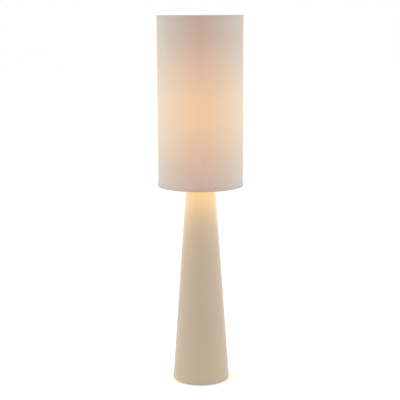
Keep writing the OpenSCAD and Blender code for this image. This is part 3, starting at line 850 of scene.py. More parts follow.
def hex_nut(name: str, corner: float, low: float, high: float) -> bpy.types.Object:
    """Make a nut for the tube's thread, its corners chamfered: a turned blank that a hexagon trims.

    Args:
        name: the piece's name.
        corner: distance from the axis to a corner.
        low: height of its underside.
        high: height of its top.

    Returns:
        The nut.
    """
    face = corner * 0.84
    blank = corner * 1.02
    slope = (blank - face) * math.tan(math.radians(30))
    lead = 0.4 * MM
    nut = lathe(name, [
        (TAPPED + lead, low), (face, low), (blank, low + slope), (blank, high - slope), (face, high),
        (TAPPED + lead, high), (TAPPED, high - lead), (TAPPED, low + lead), (TAPPED + lead, low),
    ])
    half = (high - low) / 2
    prism = cylinder("hexagon", corner, low - half, high + half, sides=6, turn=math.radians(30))
    combine(nut, prism, "INTERSECT")
    return nut


def roll_thread(piece: bpy.types.Object, at: Vector, wall: Station, span: Station, pitch: float,
                depth: float) -> None:
    """Roll a helical thread into a wall, running out at both ends.

    Args:
        piece: the piece with the wall.
        at: foot of the thread's axis.
        wall: the least and greatest radius of the vertices that move.
        span: where the thread starts and ends.
        pitch: rise of one turn.
        depth: depth of the root under the crest.
    """
    low, high = span
    for vertex in piece.data.vertices:
        spot = vertex.co
        x, y = spot.x - at.x, spot.y - at.y
        reach = math.hypot(x, y)
        if not (wall[0] < reach < wall[1] and low < spot.z < high):
            continue
        phase = TURN * (spot.z - low) / pitch - math.atan2(y, x)
        run_out = min(1.0, 3 * (spot.z - low) / pitch, 3 * (high - spot.z) / pitch)
        scale = 1 - depth * run_out * (0.5 - 0.5 * math.cos(phase)) / reach
        spot.x = at.x + x * scale
        spot.y = at.y + y * scale
    smooth(piece, 60)


def dress(piece: bpy.types.Object, finish: Finish) -> None:
    """Give a piece its finish."""
    piece.data.materials.clear()
    piece.data.materials.append(material_of(finish))


@lru_cache(maxsize=None)
def material_of(finish: Finish) -> bpy.types.Material:
    """Return a finish's material, made once."""
    return finish.make()


def dress_nodes(finish: Finish, *nodes: str) -> None:
    """Give CAD nodes a finish in their own material slots.

    Args:
        finish: what they are made of.
        nodes: their names.
    """
    for node in nodes:
        node_object = frame["nodes"][node]
        if not node_object.material_slots:
            node_object.data.materials.append(None)
        for slot in node_object.material_slots:
            slot.material = material_of(finish)


def copied(piece: bpy.types.Object, name: str, step: Vector) -> bpy.types.Object:
    """Copy a piece, its mesh too.

    Args:
        piece: the piece to copy.
        name: the copy's name.
        step: how far from the piece it stands.

    Returns:
        The copy.
    """
    other = piece.copy()
    other.data = piece.data.copy()
    other.name = other.data.name = name
    bpy.context.scene.collection.objects.link(other)
    with editing(other, "VERT"):
        bpy.ops.mesh.select_all(action="SELECT")
        bpy.ops.transform.translate(value=step)
    return other


def mount(piece: bpy.types.Object, body: str, slot: str, finish: Finish, *nodes: str) -> None:
    """Finish a piece, ride it on its body and let it stand for its CAD nodes.

    Args:
        piece: the finished shape.
        body: the body that it moves with.
        slot: not used.
        finish: what it is made of.
        nodes: the CAD nodes that it replaces.
    """
    dress(piece, finish)
    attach(piece, body)
    if nodes:
        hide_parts(*nodes)
    LOG.info("%s rides on %s: %d faces", piece.name, body, len(piece.data.polygons))


def fasten(piece: bpy.types.Object, *nodes: str) -> None:
    """Mount a zinc-plated fastener of the lamp's base."""
    mount(piece, "base", "zinc", ZINC, *nodes)


def fasten_nut(node: str) -> None:
    """Mount a nut in the place of its CAD node."""
    low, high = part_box(node)
    fasten(hex_nut(f"{node}_piece", high.x, low.z, high.z), node)


def fasten_washer(node: str) -> None:
    """Mount a washer in the place of its CAD node."""
    fasten(washer(node, CLEAR), node)


# Finishes of this lamp

LINEN = Linen()
LINER = Liner()
SAND = PowderCoat("base_paint", (0.432, 0.341, 0.244))
WHITE_PAINT = PowderCoat("wire_paint", (0.78, 0.75, 0.69), matt=0.38)
BOX_PAINT = PowderCoat("box_paint", (0.74, 0.72, 0.68), matt=0.45)
HOLDER = Moulded("holder_plastic", (0.80, 0.77, 0.70), 0.3)
CERAMIC = Moulded("insert_ceramic", (0.86, 0.85, 0.82), 0.45)
BLOCK = Moulded("block_plastic", (0.74, 0.72, 0.64), 0.5)
BLACK = Moulded("black_plastic", (0.02, 0.02, 0.02), 0.45)
FLEX = Moulded("flex_sheath", (0.70, 0.68, 0.63), 0.45)
LEAD = Moulded("lead_sheath", (0.16, 0.07, 0.03), 0.45)
EARTH = Moulded("earth_sheath", (0.20, 0.42, 0.06), 0.45)
BLACK_GLASS = Moulded("black_glass", (0.012, 0.012, 0.014), 0.12)
STEM = Moulded("stem_glass", (0.75, 0.76, 0.75), 0.1)
ZINC = Plated("zinc", (0.62, 0.62, 0.60), 0.34)
NICKEL = Plated("nickel", (0.70, 0.66, 0.60), 0.26)
BRASS = Plated("brass", (0.72, 0.50, 0.20), 0.3)
IRON = Cast("cast_weight", (0.10, 0.10, 0.10))
FELT = Felt("felt", (0.035, 0.03, 0.026))


# Sub-assemblies


@dataclass
class DrumShade:
    """The linen drum and its liner, each lapped at the back, and the tape over both rims."""

    lap: float = 12 * MM
    ease: float = 4 * MM
    slack: float = 0.12 * MM
    cloth: float = 0.6 * MM
    cloth_lap: float = 0.45 * MM
    film: float = 0.5 * MM
    film_lap: float = -0.48 * MM
    tape: float = 0.5 * MM
    tape_width: float = 10 * MM
    wire: float = 4 * MM
    columns: int = 320
    rows: int = 90

    def __post_init__(self) -> None:
        """Take the drum's radius and the heights of its rims from the frame."""
        self.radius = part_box("shade_linen")[1].x
        self.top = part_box("top_trim")[1].z
        self.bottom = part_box("bottom_trim")[0].z
        self.ring_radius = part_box("bottom_ring")[1].x - self.wire / 2

    def build(self) -> None:
        """Make the linen, its liner and its tapes."""
        linen, flat = self._rolled("linen_drum", "shade_linen", self.cloth, self.cloth_lap)
        mount(linen, "shade", "linen", LINEN, "shade_linen")
        liner, _ = self._rolled("liner_drum", "shade_liner", self.film, self.film_lap)
        mount(liner, "shade", "liner", LINER, "shade_liner")
        fresh = Tape("top_tape_linen", rim=self.top)
        # The bottom tape's darker fold is painted shade under the rim, and its edge carries a painted shadow
        # line.
        worn = Tape("bottom_tape_linen", rim=self.bottom, rubbed=(0.29, 0.27, 0.255), rub=2.1 * MM,
                    crease=0.35)
        tapes = [
            self._tape("top_tape", self.top, -1, "top_trim", fresh),
            self._tape("bottom_tape", self.bottom, 1, "bottom_trim", worn),
        ]
        dress_nodes(WHITE_PAINT, "bottom_ring")

    def _rolled(self, name: str, node: str, thick: float, rise: float) -> tuple[bpy.types.Object, Station]:
        """Bend a sheet round into a drum, its last strip lapped over its start at the back.

        Args:
            name: the piece's name.
            node: the CAD node that it stands for.
            thick: thickness of the sheet.
            rise: how far its lap stands out, or in where it is negative.

        Returns:
            The piece, and the width and length that it was cut to.
        """
        low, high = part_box(node)
        length = TURN * high.x + self.lap
        height = high.z - low.z
        deselect()
        bpy.ops.mesh.primitive_grid_add(x_subdivisions=self.columns, y_subdivisions=self.rows, size=1.0)
        sheet = settle(bpy.context.object, name)
        uvs = sheet.data.uv_layers[0]
        uvs.name = "cloth"
        for loop in sheet.data.loops:
            spot = sheet.data.vertices[loop.vertex_index].co
            uvs.data[loop.index].uv = ((spot.x + 0.5) * length, (spot.y + 0.5) * height)
        for vertex in sheet.data.vertices:
            along = (vertex.co.x + 0.5) * length
            up = vertex.co.y + 0.5
            angle = math.pi / 2 + (along - self.lap / 2) / high.x
            slack = self.slack * math.sin(9 * angle + 5 * up) * math.sin(math.pi * up)
            lift = rise * self._ramp(along, length) * self._ease_ends(up, height)
            reach = high.x - thick / 2 + slack + lift
            vertex.co = (reach * math.cos(angle), reach * math.sin(angle), low.z + up * height)
        apply_modifier(sheet, "SOLIDIFY", thickness=thick * 0.9, offset=0.0)
        smooth(sheet)
        return sheet, (length, height)

    def _ramp(self, along: float, length: float) -> float:
        """Return how far the lap has risen, from 0 before it to 1 on it."""
        start = length - self.lap - self.ease
        return min(1.0, max(0.0, (along - start) / self.ease))

    def _ease_ends(self, up: float, height: float) -> float:
        """Return 1 between the tapes and 0 under them, where the lap is pressed flat."""
        edge = min(up, 1 - up) * height
        return min(1.0, max(0.0, (edge - self.tape_width * 0.9) / self.ease))

    def _tape(self, name: str, rim: float, way: int, node: str, finish: Tape) -> bpy.types.Object:
        """Fold a tape over one rim and round its wire.

        Args:
            name: the piece's name.
            rim: height of the rim.
            way: 1 where the tape's legs run up, -1 where they run down.
            node: the CAD node that it stands for.
            finish: its linen.

        Returns:
            The tape.
        """
        gap, edge, fold = 0.1 * MM, 0.15 * MM, self.tape * 0.9
        outer = self.radius + gap
        inner = self.ring_radius - self.wire / 2 - gap
        leg = self.tape + self.wire + 2 * gap
        line = rounded([
            (outer, rim + way * self.tape_width, edge),
            (outer, rim + way * self.tape, 0.0),
            (inner, rim + way * self.tape, 0.0),
            (inner, rim + way * leg, edge),
            (inner - self.tape, rim + way * leg, edge),
            (inner - self.tape, rim, fold),
            (outer + self.tape, rim, fold),
            (outer + self.tape, rim + way * self.tape_width, edge),
        ])
        tape = lathe(name, line, sides=192)
        self._map_tape(tape, rim)
        mount(tape, "shade", "trim_tape", finish, node)
        return tape

    def _map_tape(self, tape: bpy.types.Object, rim: float) -> None:
        """Give a tape its map of metres: round the rim, and over it from edge to edge.

        Args:
            tape: the folded tape.
            rim: height of the rim.
        """
        uvs = tape.data.uv_layers.new(name="cloth")
        for polygon in tape.data.polygons:
            turn = math.atan2(polygon.center.y, polygon.center.x)
            for index in polygon.loop_indices:
                spot = tape.data.vertices[tape.data.loops[index].vertex_index].co
                angle = math.atan2(spot.y, spot.x)
                angle += TURN * round((turn - angle) / TURN)
                reach = math.hypot(spot.x, spot.y)
                uvs.data[index].uv = (angle * self.radius, (spot.z - rim) + (self.radius - reach))


@dataclass
class ConeBase:
    """The painted cone with its cap, sleeve, weight and felt."""

    wall: float = 1.2 * MM
    edge: float = 3.5 * MM
    lip: float = 6 * MM
    crown: float = 45.75 * MM
    flange: float = 15 * MM
    foot: float = 92.75 * MM
    sheared: float = 0.3 * MM
    inlet_hole: float = 6.1 * MM
    felt_mouth: float = 22 * MM
    sides: int = 192

    def __post_init__(self) -> None:
        """Take the cone's heights and its inlet from the frame."""
        _, self.low, self.high = stand("base_cone")
        self.inlet = next(one for one in frame["record"]["mounts"] if one["name"] == "cord_inlet")
        self.inlet_turn = Vector(self.inlet["axis"]).to_track_quat("Z", "Y")

    def radius_at(self, z: float) -> float:
        """Return the cone's outer radius at a height."""
        return self.foot - (self.foot - self.crown) * (z - self.low) / (self.high - self.low)

    def build(self) -> None:
        """Make the cone and finish what stands in and on it."""
        cone = self._cone()
        self._cut_inlet(cone)
        mount(cone, "base", "base_paint", SAND, "base_cone")
        mount(self._cap(), "base", "base_paint", SAND, "top_cap")
        mount(self._bush(), "base", "black_plastic", BLACK, "cord_bush")
        self._lay_felt()
        fasten_nut("foot_nut")
        fasten_washer("foot_washer")
        fasten_washer("sleeve_washer")
        dress_nodes(SAND, "tube_sleeve")
        dress_nodes(IRON, "floor_weight")
        dress_nodes(ZINC, "tie_tube", "block_screws")
        dress_nodes(BRASS, "clamp_screws")
        dress_nodes(BLACK, "bush_nut")
        dress_nodes(BLOCK, "base_block")
        dress_nodes(FLEX, "inner_flex")

    def _cone(self) -> bpy.types.Object:
        """Return the cone's shell: outside, flange, inside and lip."""
        floor, roof = self.low + self.wall, self.high - self.wall
        inner_edge = self.edge - self.wall
        line = rounded([
            (self.foot - self.lip, self.low, self.sheared),
            (self.foot, self.low, self.edge),
            (self.crown, self.high, self.edge),
            (self.crown - self.flange, self.high, self.sheared),
            (self.crown - self.flange, roof, self.sheared),
            (self.radius_at(roof) - self.wall, roof, inner_edge),
            (self.radius_at(floor) - self.wall, floor, inner_edge),
            (self.foot - self.lip, floor, self.sheared),
        ], steps=6)
        return lathe("cone_shell", line, sides=self.sides)

    def _cut_inlet(self, cone: bpy.types.Object) -> None:
        """Drill the hole that the cord's bush sits in.

        Args:
            cone: the cone's shell.
        """
        deselect()
        bpy.ops.mesh.primitive_cylinder_add(
            vertices=48, radius=self.inlet_hole, depth=30 * MM, location=self.inlet["pos_m"],
            rotation=self.inlet_turn.to_euler())
        combine(cone, settle(bpy.context.object, "drill"), "DIFFERENCE")

    def _bush(self) -> bpy.types.Object:
        """Return the bush: a barrel with a rounded flange and a flared mouth, square to the wall."""
        barrel, flange, thick, long = 6 * MM, 9 * MM, 2.5 * MM, 12 * MM
        bore = self.inlet["dims"]["r_mm"] * MM
        bush = lathe("cord_bush_piece", rounded([
            (bore, -long, 0.3 * MM),
            (barrel, -long, 0.5 * MM),
            (barrel, 0.0, 0.0),
            (flange, 0.0, 0.3 * MM),
            (flange, thick, 1.3 * MM),
            (bore + 1.6 * MM, thick, 0.5 * MM),
            (bore, thick - 1.8 * MM, 1 * MM),
        ]), sides=64)
        face = Vector(self.inlet["pos_m"]) + Vector(self.inlet["axis"]) * (long - thick) / 2
        bush.data.transform(Matrix.Translation(face) @ self.inlet_turn.to_matrix().to_4x4())
        return bush

    def _lay_felt(self) -> None:
        """Make the felt that the lamp stands on, cut with soft edges."""
        outer, low, high = stand("felt_ring")
        mouth = self.felt_mouth
        felt = lathe("felt_pad", rounded([
            (mouth, low, 0.5 * MM),
            (outer, low, 0.7 * MM),
            (outer, high, 0.3 * MM),
            (mouth, high, 0.3 * MM),
        ]), sides=128)
        mount(felt, "base", "felt", FELT, "felt_ring")

    def _cap(self) -> bpy.types.Object:
        """Return the cap with its rolled edge and the rim that centres it."""
        outer, low, high = stand("top_cap")
        rim, wall = self.crown - self.flange - 0.3 * MM, 1.5 * MM
        return lathe("top_cap_piece", rounded([
            (CLEAR, self.high, 0.2 * MM),
            (rim - wall, self.high, self.sheared),
            (rim - wall, low, self.sheared),
            (rim, low, self.sheared),
            (rim, self.high, 0.0),
            (outer, self.high, 0.2 * MM),
            (outer, high, self.wall),
            (CLEAR, high, self.sheared),
        ]), sides=128)


@dataclass
class Lampholders:
    """The two lampholders with their bulbs: the left one is modelled, and the right one is its copy."""

    wall: float = 2 * MM
    ribs: int = 40
    rib: float = 0.4 * MM
    pitch: float = 3.6 * MM
    thread_depth: float = 0.9 * MM
    glass: float = 0.8 * MM

    def __post_init__(self) -> None:
        """Take the left axis, the distance to the right one and the levels from the frame."""
        low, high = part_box("left_holder_foot")
        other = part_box("right_holder_foot")[0]
        self.at = Vector(((low.x + high.x) / 2, (low.y + high.y) / 2, 0))
        self.step = Vector((other.x - low.x, 0, 0))
        self.foot_low, self.foot_high = low.z, high.z
        self.radius = (high.x - low.x) / 2

    def build(self) -> None:
        """Make the holders and the bulbs."""
        globe, middle = self._globe()
        opal = Opal("opal_glass", middle)
        for piece, node, slot, finish in (
            (self._foot(), "holder_foot", "holder_plastic", HOLDER),
            (self._skirt(), "skirt", "holder_plastic", HOLDER),
            (self._shell(), "screw_shell", "nickel", NICKEL),
            (self._cap(), "bulb_cap", "nickel", NICKEL),
            (globe, "bulb_glass", "opal_glass", opal),
        ):
            other = copied(piece, f"right_{node}_piece", self.step)
            for side, one in ((Side.LEFT, piece), (Side.RIGHT, other)):
                body = f"{side.value}_bulb" if node.startswith("bulb") else "base"
                mount(one, body, slot, finish, f"{side.value}_{node}")
        for node, finish in (
            ("insert", CERAMIC),
            ("contact", BRASS),
            ("bulb_insulator", BLACK_GLASS),
            ("bulb_tip", NICKEL),
            ("bulb_filament", STEM),
        ):
            dress_nodes(finish, *(f"{side.value}_{node}" for side in Side))

    def _foot(self) -> bpy.types.Object:
        """Return the lower part, which flares up from the nipple."""
        low, high = self.foot_low, self.foot_high
        neck, flared = 10 * MM, low + 14 * MM
        bottom, shelf = low + 8 * MM, low + 17 * MM
        edge = 0.4 * MM
        line = rounded([
            (TAPPED, low, edge),
            (neck, low, 1 * MM),
            (self.radius, flared, 4 * MM),
            (self.radius, high, edge),
            (self.radius - self.wall, high, edge),
            (self.radius - self.wall, shelf, edge),
            (neck + 3 * MM, shelf, edge),
            (neck + 2 * MM, bottom, edge),
            (TAPPED, bottom, edge),
        ])
        return lathe("left_holder_foot_piece", line, self.at)

    def _skirt(self) -> bpy.types.Object:
        """Return the skirt, with grip ribs round its lower half."""
        _, low, high = stand("left_skirt")
        bore, spigot, outer = 15.8 * MM, self.radius - 2.08 * MM, self.radius - 1 * MM
        grip_low, grip_high = self.foot_high + 3 * MM, self.foot_high + 15 * MM
        margin = 1 * MM
        line = rounded([
            (bore, low, 0.2 * MM),
            (spigot, low, 0.3 * MM),
            (spigot, self.foot_high, 0.0),
            (outer, self.foot_high, 0.3 * MM),
            (outer, grip_low, 0.0),
            (outer, grip_high, 0.0),
            (outer, high, 1 * MM),
            (bore, high, 0.5 * MM),
        ])
        skirt = lathe("left_skirt_piece", line, self.at, sides=2 * self.ribs)

        def on_rib(face: bmesh.types.BMFace) -> bool:
            """Tell whether a face carries a rib.

            Args:
                face: a face of the skirt.

            Returns:
                Whether it is one of every second outer face of the band.
            """
            away = face.calc_center_median() - self.at
            column = int(math.atan2(away.y, away.x) % TURN / TURN * 2 * self.ribs)
            outward = face.normal.x * away.x + face.normal.y * away.y > 0
            return grip_low + margin < away.z < grip_high - margin and outward and column % 2 == 0

        with editing(skirt) as mesh:
            select(skirt, mesh.faces, on_rib)
            bpy.ops.mesh.inset(thickness=0.25 * MM, use_individual=True)
            bpy.ops.transform.shrink_fatten(value=self.rib)
        smooth(skirt)
        return skirt

    def _shell(self) -> bpy.types.Object:
        """Return the screw shell that the bulb's cap screws into."""
        outer, low, high = stand("left_screw_shell")
        inner = outer - 0.6 * MM
        lip = 1.2 * MM
        return lathe("left_screw_shell_piece", rounded([
            (inner, low, 0.1 * MM),
            (outer, low, 0.1 * MM),
            (outer, high - lip, 0.0),
            (outer, high, 0.25 * MM),
            (inner, high, 0.25 * MM),
        ]), self.at)

    def _cap(self) -> bpy.types.Object:
        """Return the bulb's cap with its rolled thread."""
        collar, low, high = stand("left_bulb_cap")
        crest = collar - 0.3 * MM
        rim = crest - 1.6 * MM
        inside = collar - 1.7 * MM
        wall = 0.45 * MM
        top = high - 3 * MM
        rings = 52
        flank = [(crest, low + wall + (top - low - wall) * ring / rings) for ring in range(rings + 1)]
        cap = lathe("left_bulb_cap_piece", [
            (rim, low),
            (crest - 0.4 * MM, low),
            *flank,
            (collar, high - 1.6 * MM),
            (collar, high),
            (inside, high),
            (inside, low + wall),
            (rim, low + wall),
            (rim, low),
        ], self.at, sides=64)
        walls = (inside + 0.1 * MM, collar)
        roll_thread(cap, self.at, walls, (low + wall, top), self.pitch, self.thread_depth)
        return cap

    def _globe(self) -> tuple[bpy.types.Object, float]:
        """Return the glass, and the height of its ball's middle."""
        ball, low, high = stand("left_bulb_glass")
        middle = high - ball
        neck = 13.3 * MM
        flank = math.radians(40)
        start = Vector((ball * math.cos(flank), middle - ball * math.sin(flank)))
        bend = start.y - (start.x - neck) / math.tan(flank)
        turns = [-flank + (math.pi / 2 + flank) * step / 26 for step in range(1, 26)]
        globe = lathe("left_bulb_glass_piece", [
            *rounded([(neck, low, 0.0), (neck, bend, 20 * MM), (*start, 0.0)], steps=10, closed=False),
            *((ball * math.cos(turn), middle + ball * math.sin(turn)) for turn in turns),
            (0.0, high),
        ], self.at, sides=72, ends=Ends.OPEN)
        apply_modifier(globe, "SOLIDIFY", thickness=self.glass, offset=-1.0)
        smooth(globe, 60)
        return globe, middle


@dataclass
class JunctionBox:
    """The box under the lampholders, with its coupling, screws and wiring."""

    span: float = 90 * MM
    wall: float = 2 * MM
    edge: float = 1.5 * MM
    seam: float = 0.35 * MM
    lip: float = 3 * MM
    post: float = 3 * MM
    post_x: float = 58.5 * MM
    screw: float = 1.58 * MM
    screw_clear: float = 1.8 * MM
    earth_x: float = 51 * MM
    block_screw: float = 1.33 * MM
    block_spot: Station = (28.5 * MM, 4.5 * MM)
    coupling: float = 9.3 * MM

    def __post_init__(self) -> None:
        """Take the box's levels and its ends' radius from the frame."""
        low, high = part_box("junction_tray")
        self.low = low.z
        self.mid = high.z
        self.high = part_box("junction_lid")[1].z
        self.radius = high.y

    def build(self) -> None:
        """Make the box and finish what is in it."""
        mount(self._tray(), "base", "box_paint", BOX_PAINT, "junction_tray")
        mount(self._lid(), "base", "box_paint", BOX_PAINT, "junction_lid")
        fasten_washer("tray_washer")
        fasten_nut("tray_nut")
        dress_nodes(ZINC, "junction_screws", "rod_coupling", "nipples", "nipple_nuts", "earth_screw")
        dress_nodes(BLOCK, "tray_block")
        dress_nodes(LEAD, "left_leads", "right_leads")
        dress_nodes(EARTH, "earth_lead")

    def _bar(self, name: str, inset: float, low: float, high: float, under: float = 0.0,
             over: float = 0.0) -> bpy.types.Object:
        """Make a solid bar with round ends.

        Args:
            name: the piece's name.
            inset: how far it lies inside the box's outline.
            low: height of its underside.
            high: height of its top.
            under: rounding of its lower edge.
            over: rounding of its upper edge.

        Returns:
            The bar.
        """
        sides = 96
        deselect()
        bpy.ops.mesh.primitive_circle_add(vertices=sides, radius=self.radius - inset, fill_type="NGON",
                                          location=(0, 0, low), rotation=(0, 0, math.pi / sides))
        bar = settle(bpy.context.object, name)
        for way in (-1, 1):
            with editing(bar, "VERT") as mesh:
                select(bar, mesh.verts, lambda vertex: vertex.co.x * way > 0)
                bpy.ops.transform.translate(value=(way * self.span / 2, 0, 0))
        with editing(bar):
            bpy.ops.mesh.select_all(action="SELECT")
            bpy.ops.mesh.extrude_region_move(TRANSFORM_OT_translate={"value": (0, 0, high - low)})
            bpy.ops.mesh.select_all(action="SELECT")
            bpy.ops.mesh.normals_make_consistent(inside=False)
        for level, fillet in ((low, under), (high, over)):
            if fillet > 0:
                self._round_edge(bar, level, fillet)
        return bar

    def _round_edge(self, bar: bpy.types.Object, level: float, fillet: float) -> None:
        """Round the outline of a bar.

        Args:
            bar: the bar.
            level: height of the outline.
            fillet: radius of the rounding.
        """

        def on_level(edge: bmesh.types.BMEdge) -> bool:
            """Tell whether an edge lies at the level."""
            return all(abs(vertex.co.z - level) < WELD for vertex in edge.verts)

        with editing(bar, "EDGE") as mesh:
            select(bar, mesh.edges, on_level)
            bpy.ops.mesh.bevel(offset=fillet, segments=4, affect="EDGES")

    def _tray(self) -> bpy.types.Object:
        """Return the tray with the holes of its tube and screws."""
        tray = self._bar("junction_tray_piece", 0.0, self.low, self.mid, self.edge, self.seam)
        room = self._bar("room", self.wall, self.low + self.wall, self.mid + 1 * MM)
        combine(tray, room, "DIFFERENCE")
        through = (self.low - 1 * MM, self.low + self.wall + 1 * MM)
        block_x, block_y = self.block_spot
        drill(tray, CLEAR, *through, (0, 0))
        drill(tray, self.screw_clear, *through, (-self.post_x, 0), (self.post_x, 0))
        drill(tray, self.screw, *through, (self.earth_x, 0))
        drill(tray, self.block_screw, *through, (block_x, -block_y), (block_x, block_y))
        return tray

    def _lid(self) -> bpy.types.Object:
        """Return the lid with its inner lip and the two posts that its screws pull."""
        lid = self._bar("junction_lid_piece", 0.0, self.mid, self.high, self.seam, self.edge)
        combine(lid, self._bar("room", self.wall, self.mid - 1 * MM, self.high - self.wall), "DIFFERENCE")
        inside = self.wall + 0.1 * MM
        lip = self._bar("lip", inside, self.mid - self.lip, self.high - self.wall / 2)
        hollow = self._bar("hollow", inside + self.wall, self.mid - 2 * self.lip, self.high)
        combine(lip, hollow, "DIFFERENCE")
        combine(lid, lip, "UNION")
        foot = self.low + self.wall + 0.3 * MM
        for way in (-1, 1):
            post = cylinder("post", self.post, foot, self.high - self.wall / 2, way * self.post_x)
            combine(lid, post, "UNION")
        above = self.high + 1 * MM
        drill(lid, self.coupling, self.mid, above, (0, 0))
        drill(lid, CLEAR, self.mid, above, (-self.span / 2, 0), (self.span / 2, 0))
        drill(lid, self.screw, self.low, self.low + 16 * MM, (-self.post_x, 0), (self.post_x, 0))
        return lid


@dataclass
class Spider:
    """The rod, the spider that carries the shade, and the knurled nut with its washer."""

    arms: int = 3
    arm: float = 2.25 * MM
    turn: float = 104 * MM
    bend: float = 9 * MM
    wire: float = 2 * MM
    hub: float = 19 * MM
    bead: float = 3.3 * MM
    end_bead: float = 2.6 * MM
    rod_bore: float = 4 * MM
    thread: float = 36 * MM
    thread_depth: float = 0.5 * MM
    pitch: float = 1 * MM
    grooves: int = 30
    groove: float = 0.7 * MM

    def __post_init__(self) -> None:
        """Take the levels of the hub, ring and rod from the frame."""
        low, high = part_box("shade_spider")
        self.arm_z = low.z + self.arm
        self.ring_z = high.z - self.wire
        self.ring = high.x - self.wire
        self.hub_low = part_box("seat_washer")[1].z
        self.hub_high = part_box("knob_washer")[0].z
        low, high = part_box("shade_rod")
        self.rod = high.x
        self.rod_low, self.rod_high = low.z, high.z

    def build(self) -> None:
        """Make the rod, the spider and the nuts."""
        mount(self._spider(), "shade", "wire_paint", WHITE_PAINT, "shade_spider")
        mount(self._rod(), "base", "wire_paint", WHITE_PAINT, "shade_rod")
        mount(self._knob(), "nut", "nickel", NICKEL, "shade_knob")
        mount(washer("knob_washer", TAPPED), "nut_washer", "nickel", NICKEL, "knob_washer")
        fasten_washer("seat_washer")
        self._seat_nuts()

    def _seat_nuts(self) -> None:
        """Make the two locked nuts under the hub: the lower one, and its copy."""
        low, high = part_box("seat_nuts")
        middle = (low.z + high.z) / 2
        gap = 0.05 * MM
        nut = hex_nut("seat_nut_lower", high.x, low.z, middle - gap)
        other = copied(nut, "seat_nut_upper", Vector((0, 0, middle + gap - low.z)))
        fasten(nut, "seat_nuts")
        fasten(other)

    def _spider(self) -> bpy.types.Object:
        """Return the hub, the arms and the ring, welded."""
        bore = self.rod + 0.3 * MM
        punched, worn = 0.3 * MM, 0.7 * MM
        hub = lathe("spider_wire", rounded([
            (bore, self.hub_low, punched),
            (self.hub, self.hub_low, worn),
            (self.hub, self.hub_high, worn),
            (bore, self.hub_high, punched),
        ]))
        around = [TURN * step / 20 for step in range(21)]
        ring = lathe("ring", [
            (self.ring + self.wire * math.cos(turn), self.ring_z + self.wire * math.sin(turn))
            for turn in around
        ], sides=192)
        arm = self._arm()
        for _ in range(self.arms):
            with editing(arm, "VERT"):
                bpy.ops.mesh.select_all(action="SELECT")
                bpy.ops.transform.rotate(value=TURN / self.arms, orient_axis="Z", center_override=AXIS)
            combine(hub, copied(arm, "arm_copy", Vector()), "UNION")
        bpy.data.objects.remove(arm)
        combine(hub, ring, "UNION", 40)
        return hub

    def _arm(self) -> bpy.types.Object:
        """Return the arm that runs to +Y: a bar that is bent up to the ring, with its weld beads."""
        start = self.hub - 3 * MM
        reach, rise = self.ring - 0.5 * MM - self.turn, self.ring_z - self.arm_z
        angle = math.atan2(rise, reach)
        cut = self.bend * math.tan(angle / 2)
        last = math.hypot(reach, rise) - cut
        deselect()
        bpy.ops.mesh.primitive_circle_add(vertices=24, radius=self.arm, location=(0, start, self.arm_z),
                                          rotation=(math.pi / 2, 0, 0))
        arm = settle(bpy.context.object, "arm")
        with editing(arm, "EDGE"):
            bpy.ops.mesh.select_all(action="SELECT")
            extrude(0, self.turn - cut - start, 0)
            bpy.ops.mesh.spin(steps=10, angle=-angle, axis=(1, 0, 0),
                              center=(0, self.turn - cut, self.arm_z + self.bend))
            extrude(0, last * math.cos(angle), last * math.sin(angle))
            close_ends()
        beads = (
            ((0, self.hub, self.arm_z), self.bead),
            ((0, self.ring - 0.4 * MM, self.ring_z), self.end_bead),
        )
        for spot, size in beads:
            deselect()
            bpy.ops.mesh.primitive_uv_sphere_add(segments=24, ring_count=14, radius=size, location=spot)
            bpy.context.object.scale.z = 0.86
            combine(arm, settle(bpy.context.object, "bead"), "UNION", 40)
        return arm

    def _rod(self) -> bpy.types.Object:
        """Return the rod, with a thread down to the locked nuts."""
        chamfer = 0.5 * MM
        start = self.rod_high - self.thread
        end = self.rod_high - chamfer
        rings = round((end - start) / self.pitch * 8)
        rod = lathe("shade_rod_piece", [
            (self.rod_bore, self.rod_low),
            (self.rod, self.rod_low),
            *((self.rod, start + (end - start) * ring / rings) for ring in range(rings + 1)),
            (self.rod - chamfer, self.rod_high),
            (self.rod_bore, self.rod_high),
            (self.rod_bore, self.rod_low),
        ], sides=32)
        walls = (self.rod_bore + 0.1 * MM, 2 * self.rod)
        roll_thread(rod, AXIS, walls, (start, end), self.pitch, self.thread_depth)
        return rod

    def _knob(self) -> bpy.types.Object:
        """Return the nut: turned with a dished top and a blind hole, then knurled."""
        outer, low, high = stand("shade_knob")
        bore = self.rod + 0.08 * MM
        hole = low + 11 * MM
        band = (low + 2 * MM, high - 3.4 * MM)
        line = rounded([
            (bore, hole, 0.0),
            (bore, low, 0.3 * MM),
            (outer - 0.8 * MM, low, 0.3 * MM),
            (outer, low + 0.9 * MM, 0.3 * MM),
            (outer, band[0] - 0.4 * MM, 0.0),
            (outer, band[0], 0.0),
            (outer, band[1], 0.0),
            (outer, band[1] + 0.4 * MM, 0.0),
            (outer, high, 1.6 * MM),
            (outer - 3.2 * MM, high, 0.4 * MM),
            (outer - 3.8 * MM, high - 0.7 * MM, 0.4 * MM),
            (0.0, high - 0.5 * MM, 0.0),
        ], closed=False)
        knob = lathe("shade_knob_piece", line, sides=4 * self.grooves, ends=Ends.CAPPED)
        near = 0.1 * MM

        def in_groove(vertex: bmesh.types.BMVert) -> bool:
            """Tell whether a point lies in a groove.

            Args:
                vertex: a point of the nut.

            Returns:
                Whether it is on one of every fourth line of the band.
            """
            spot = vertex.co
            column = round(math.atan2(spot.y, spot.x) % TURN / TURN * 4 * self.grooves)
            in_band = band[0] - near < spot.z < band[1] + near
            return in_band and math.hypot(spot.x, spot.y) > outer - near and column % 4 == 0

        with editing(knob, "VERT") as mesh:
            select(knob, mesh.verts, in_groove)
            scale = 1 - self.groove / outer
            bpy.ops.transform.resize(value=(scale, scale, 1), center_override=AXIS)
        smooth(knob, 25)
        return knob


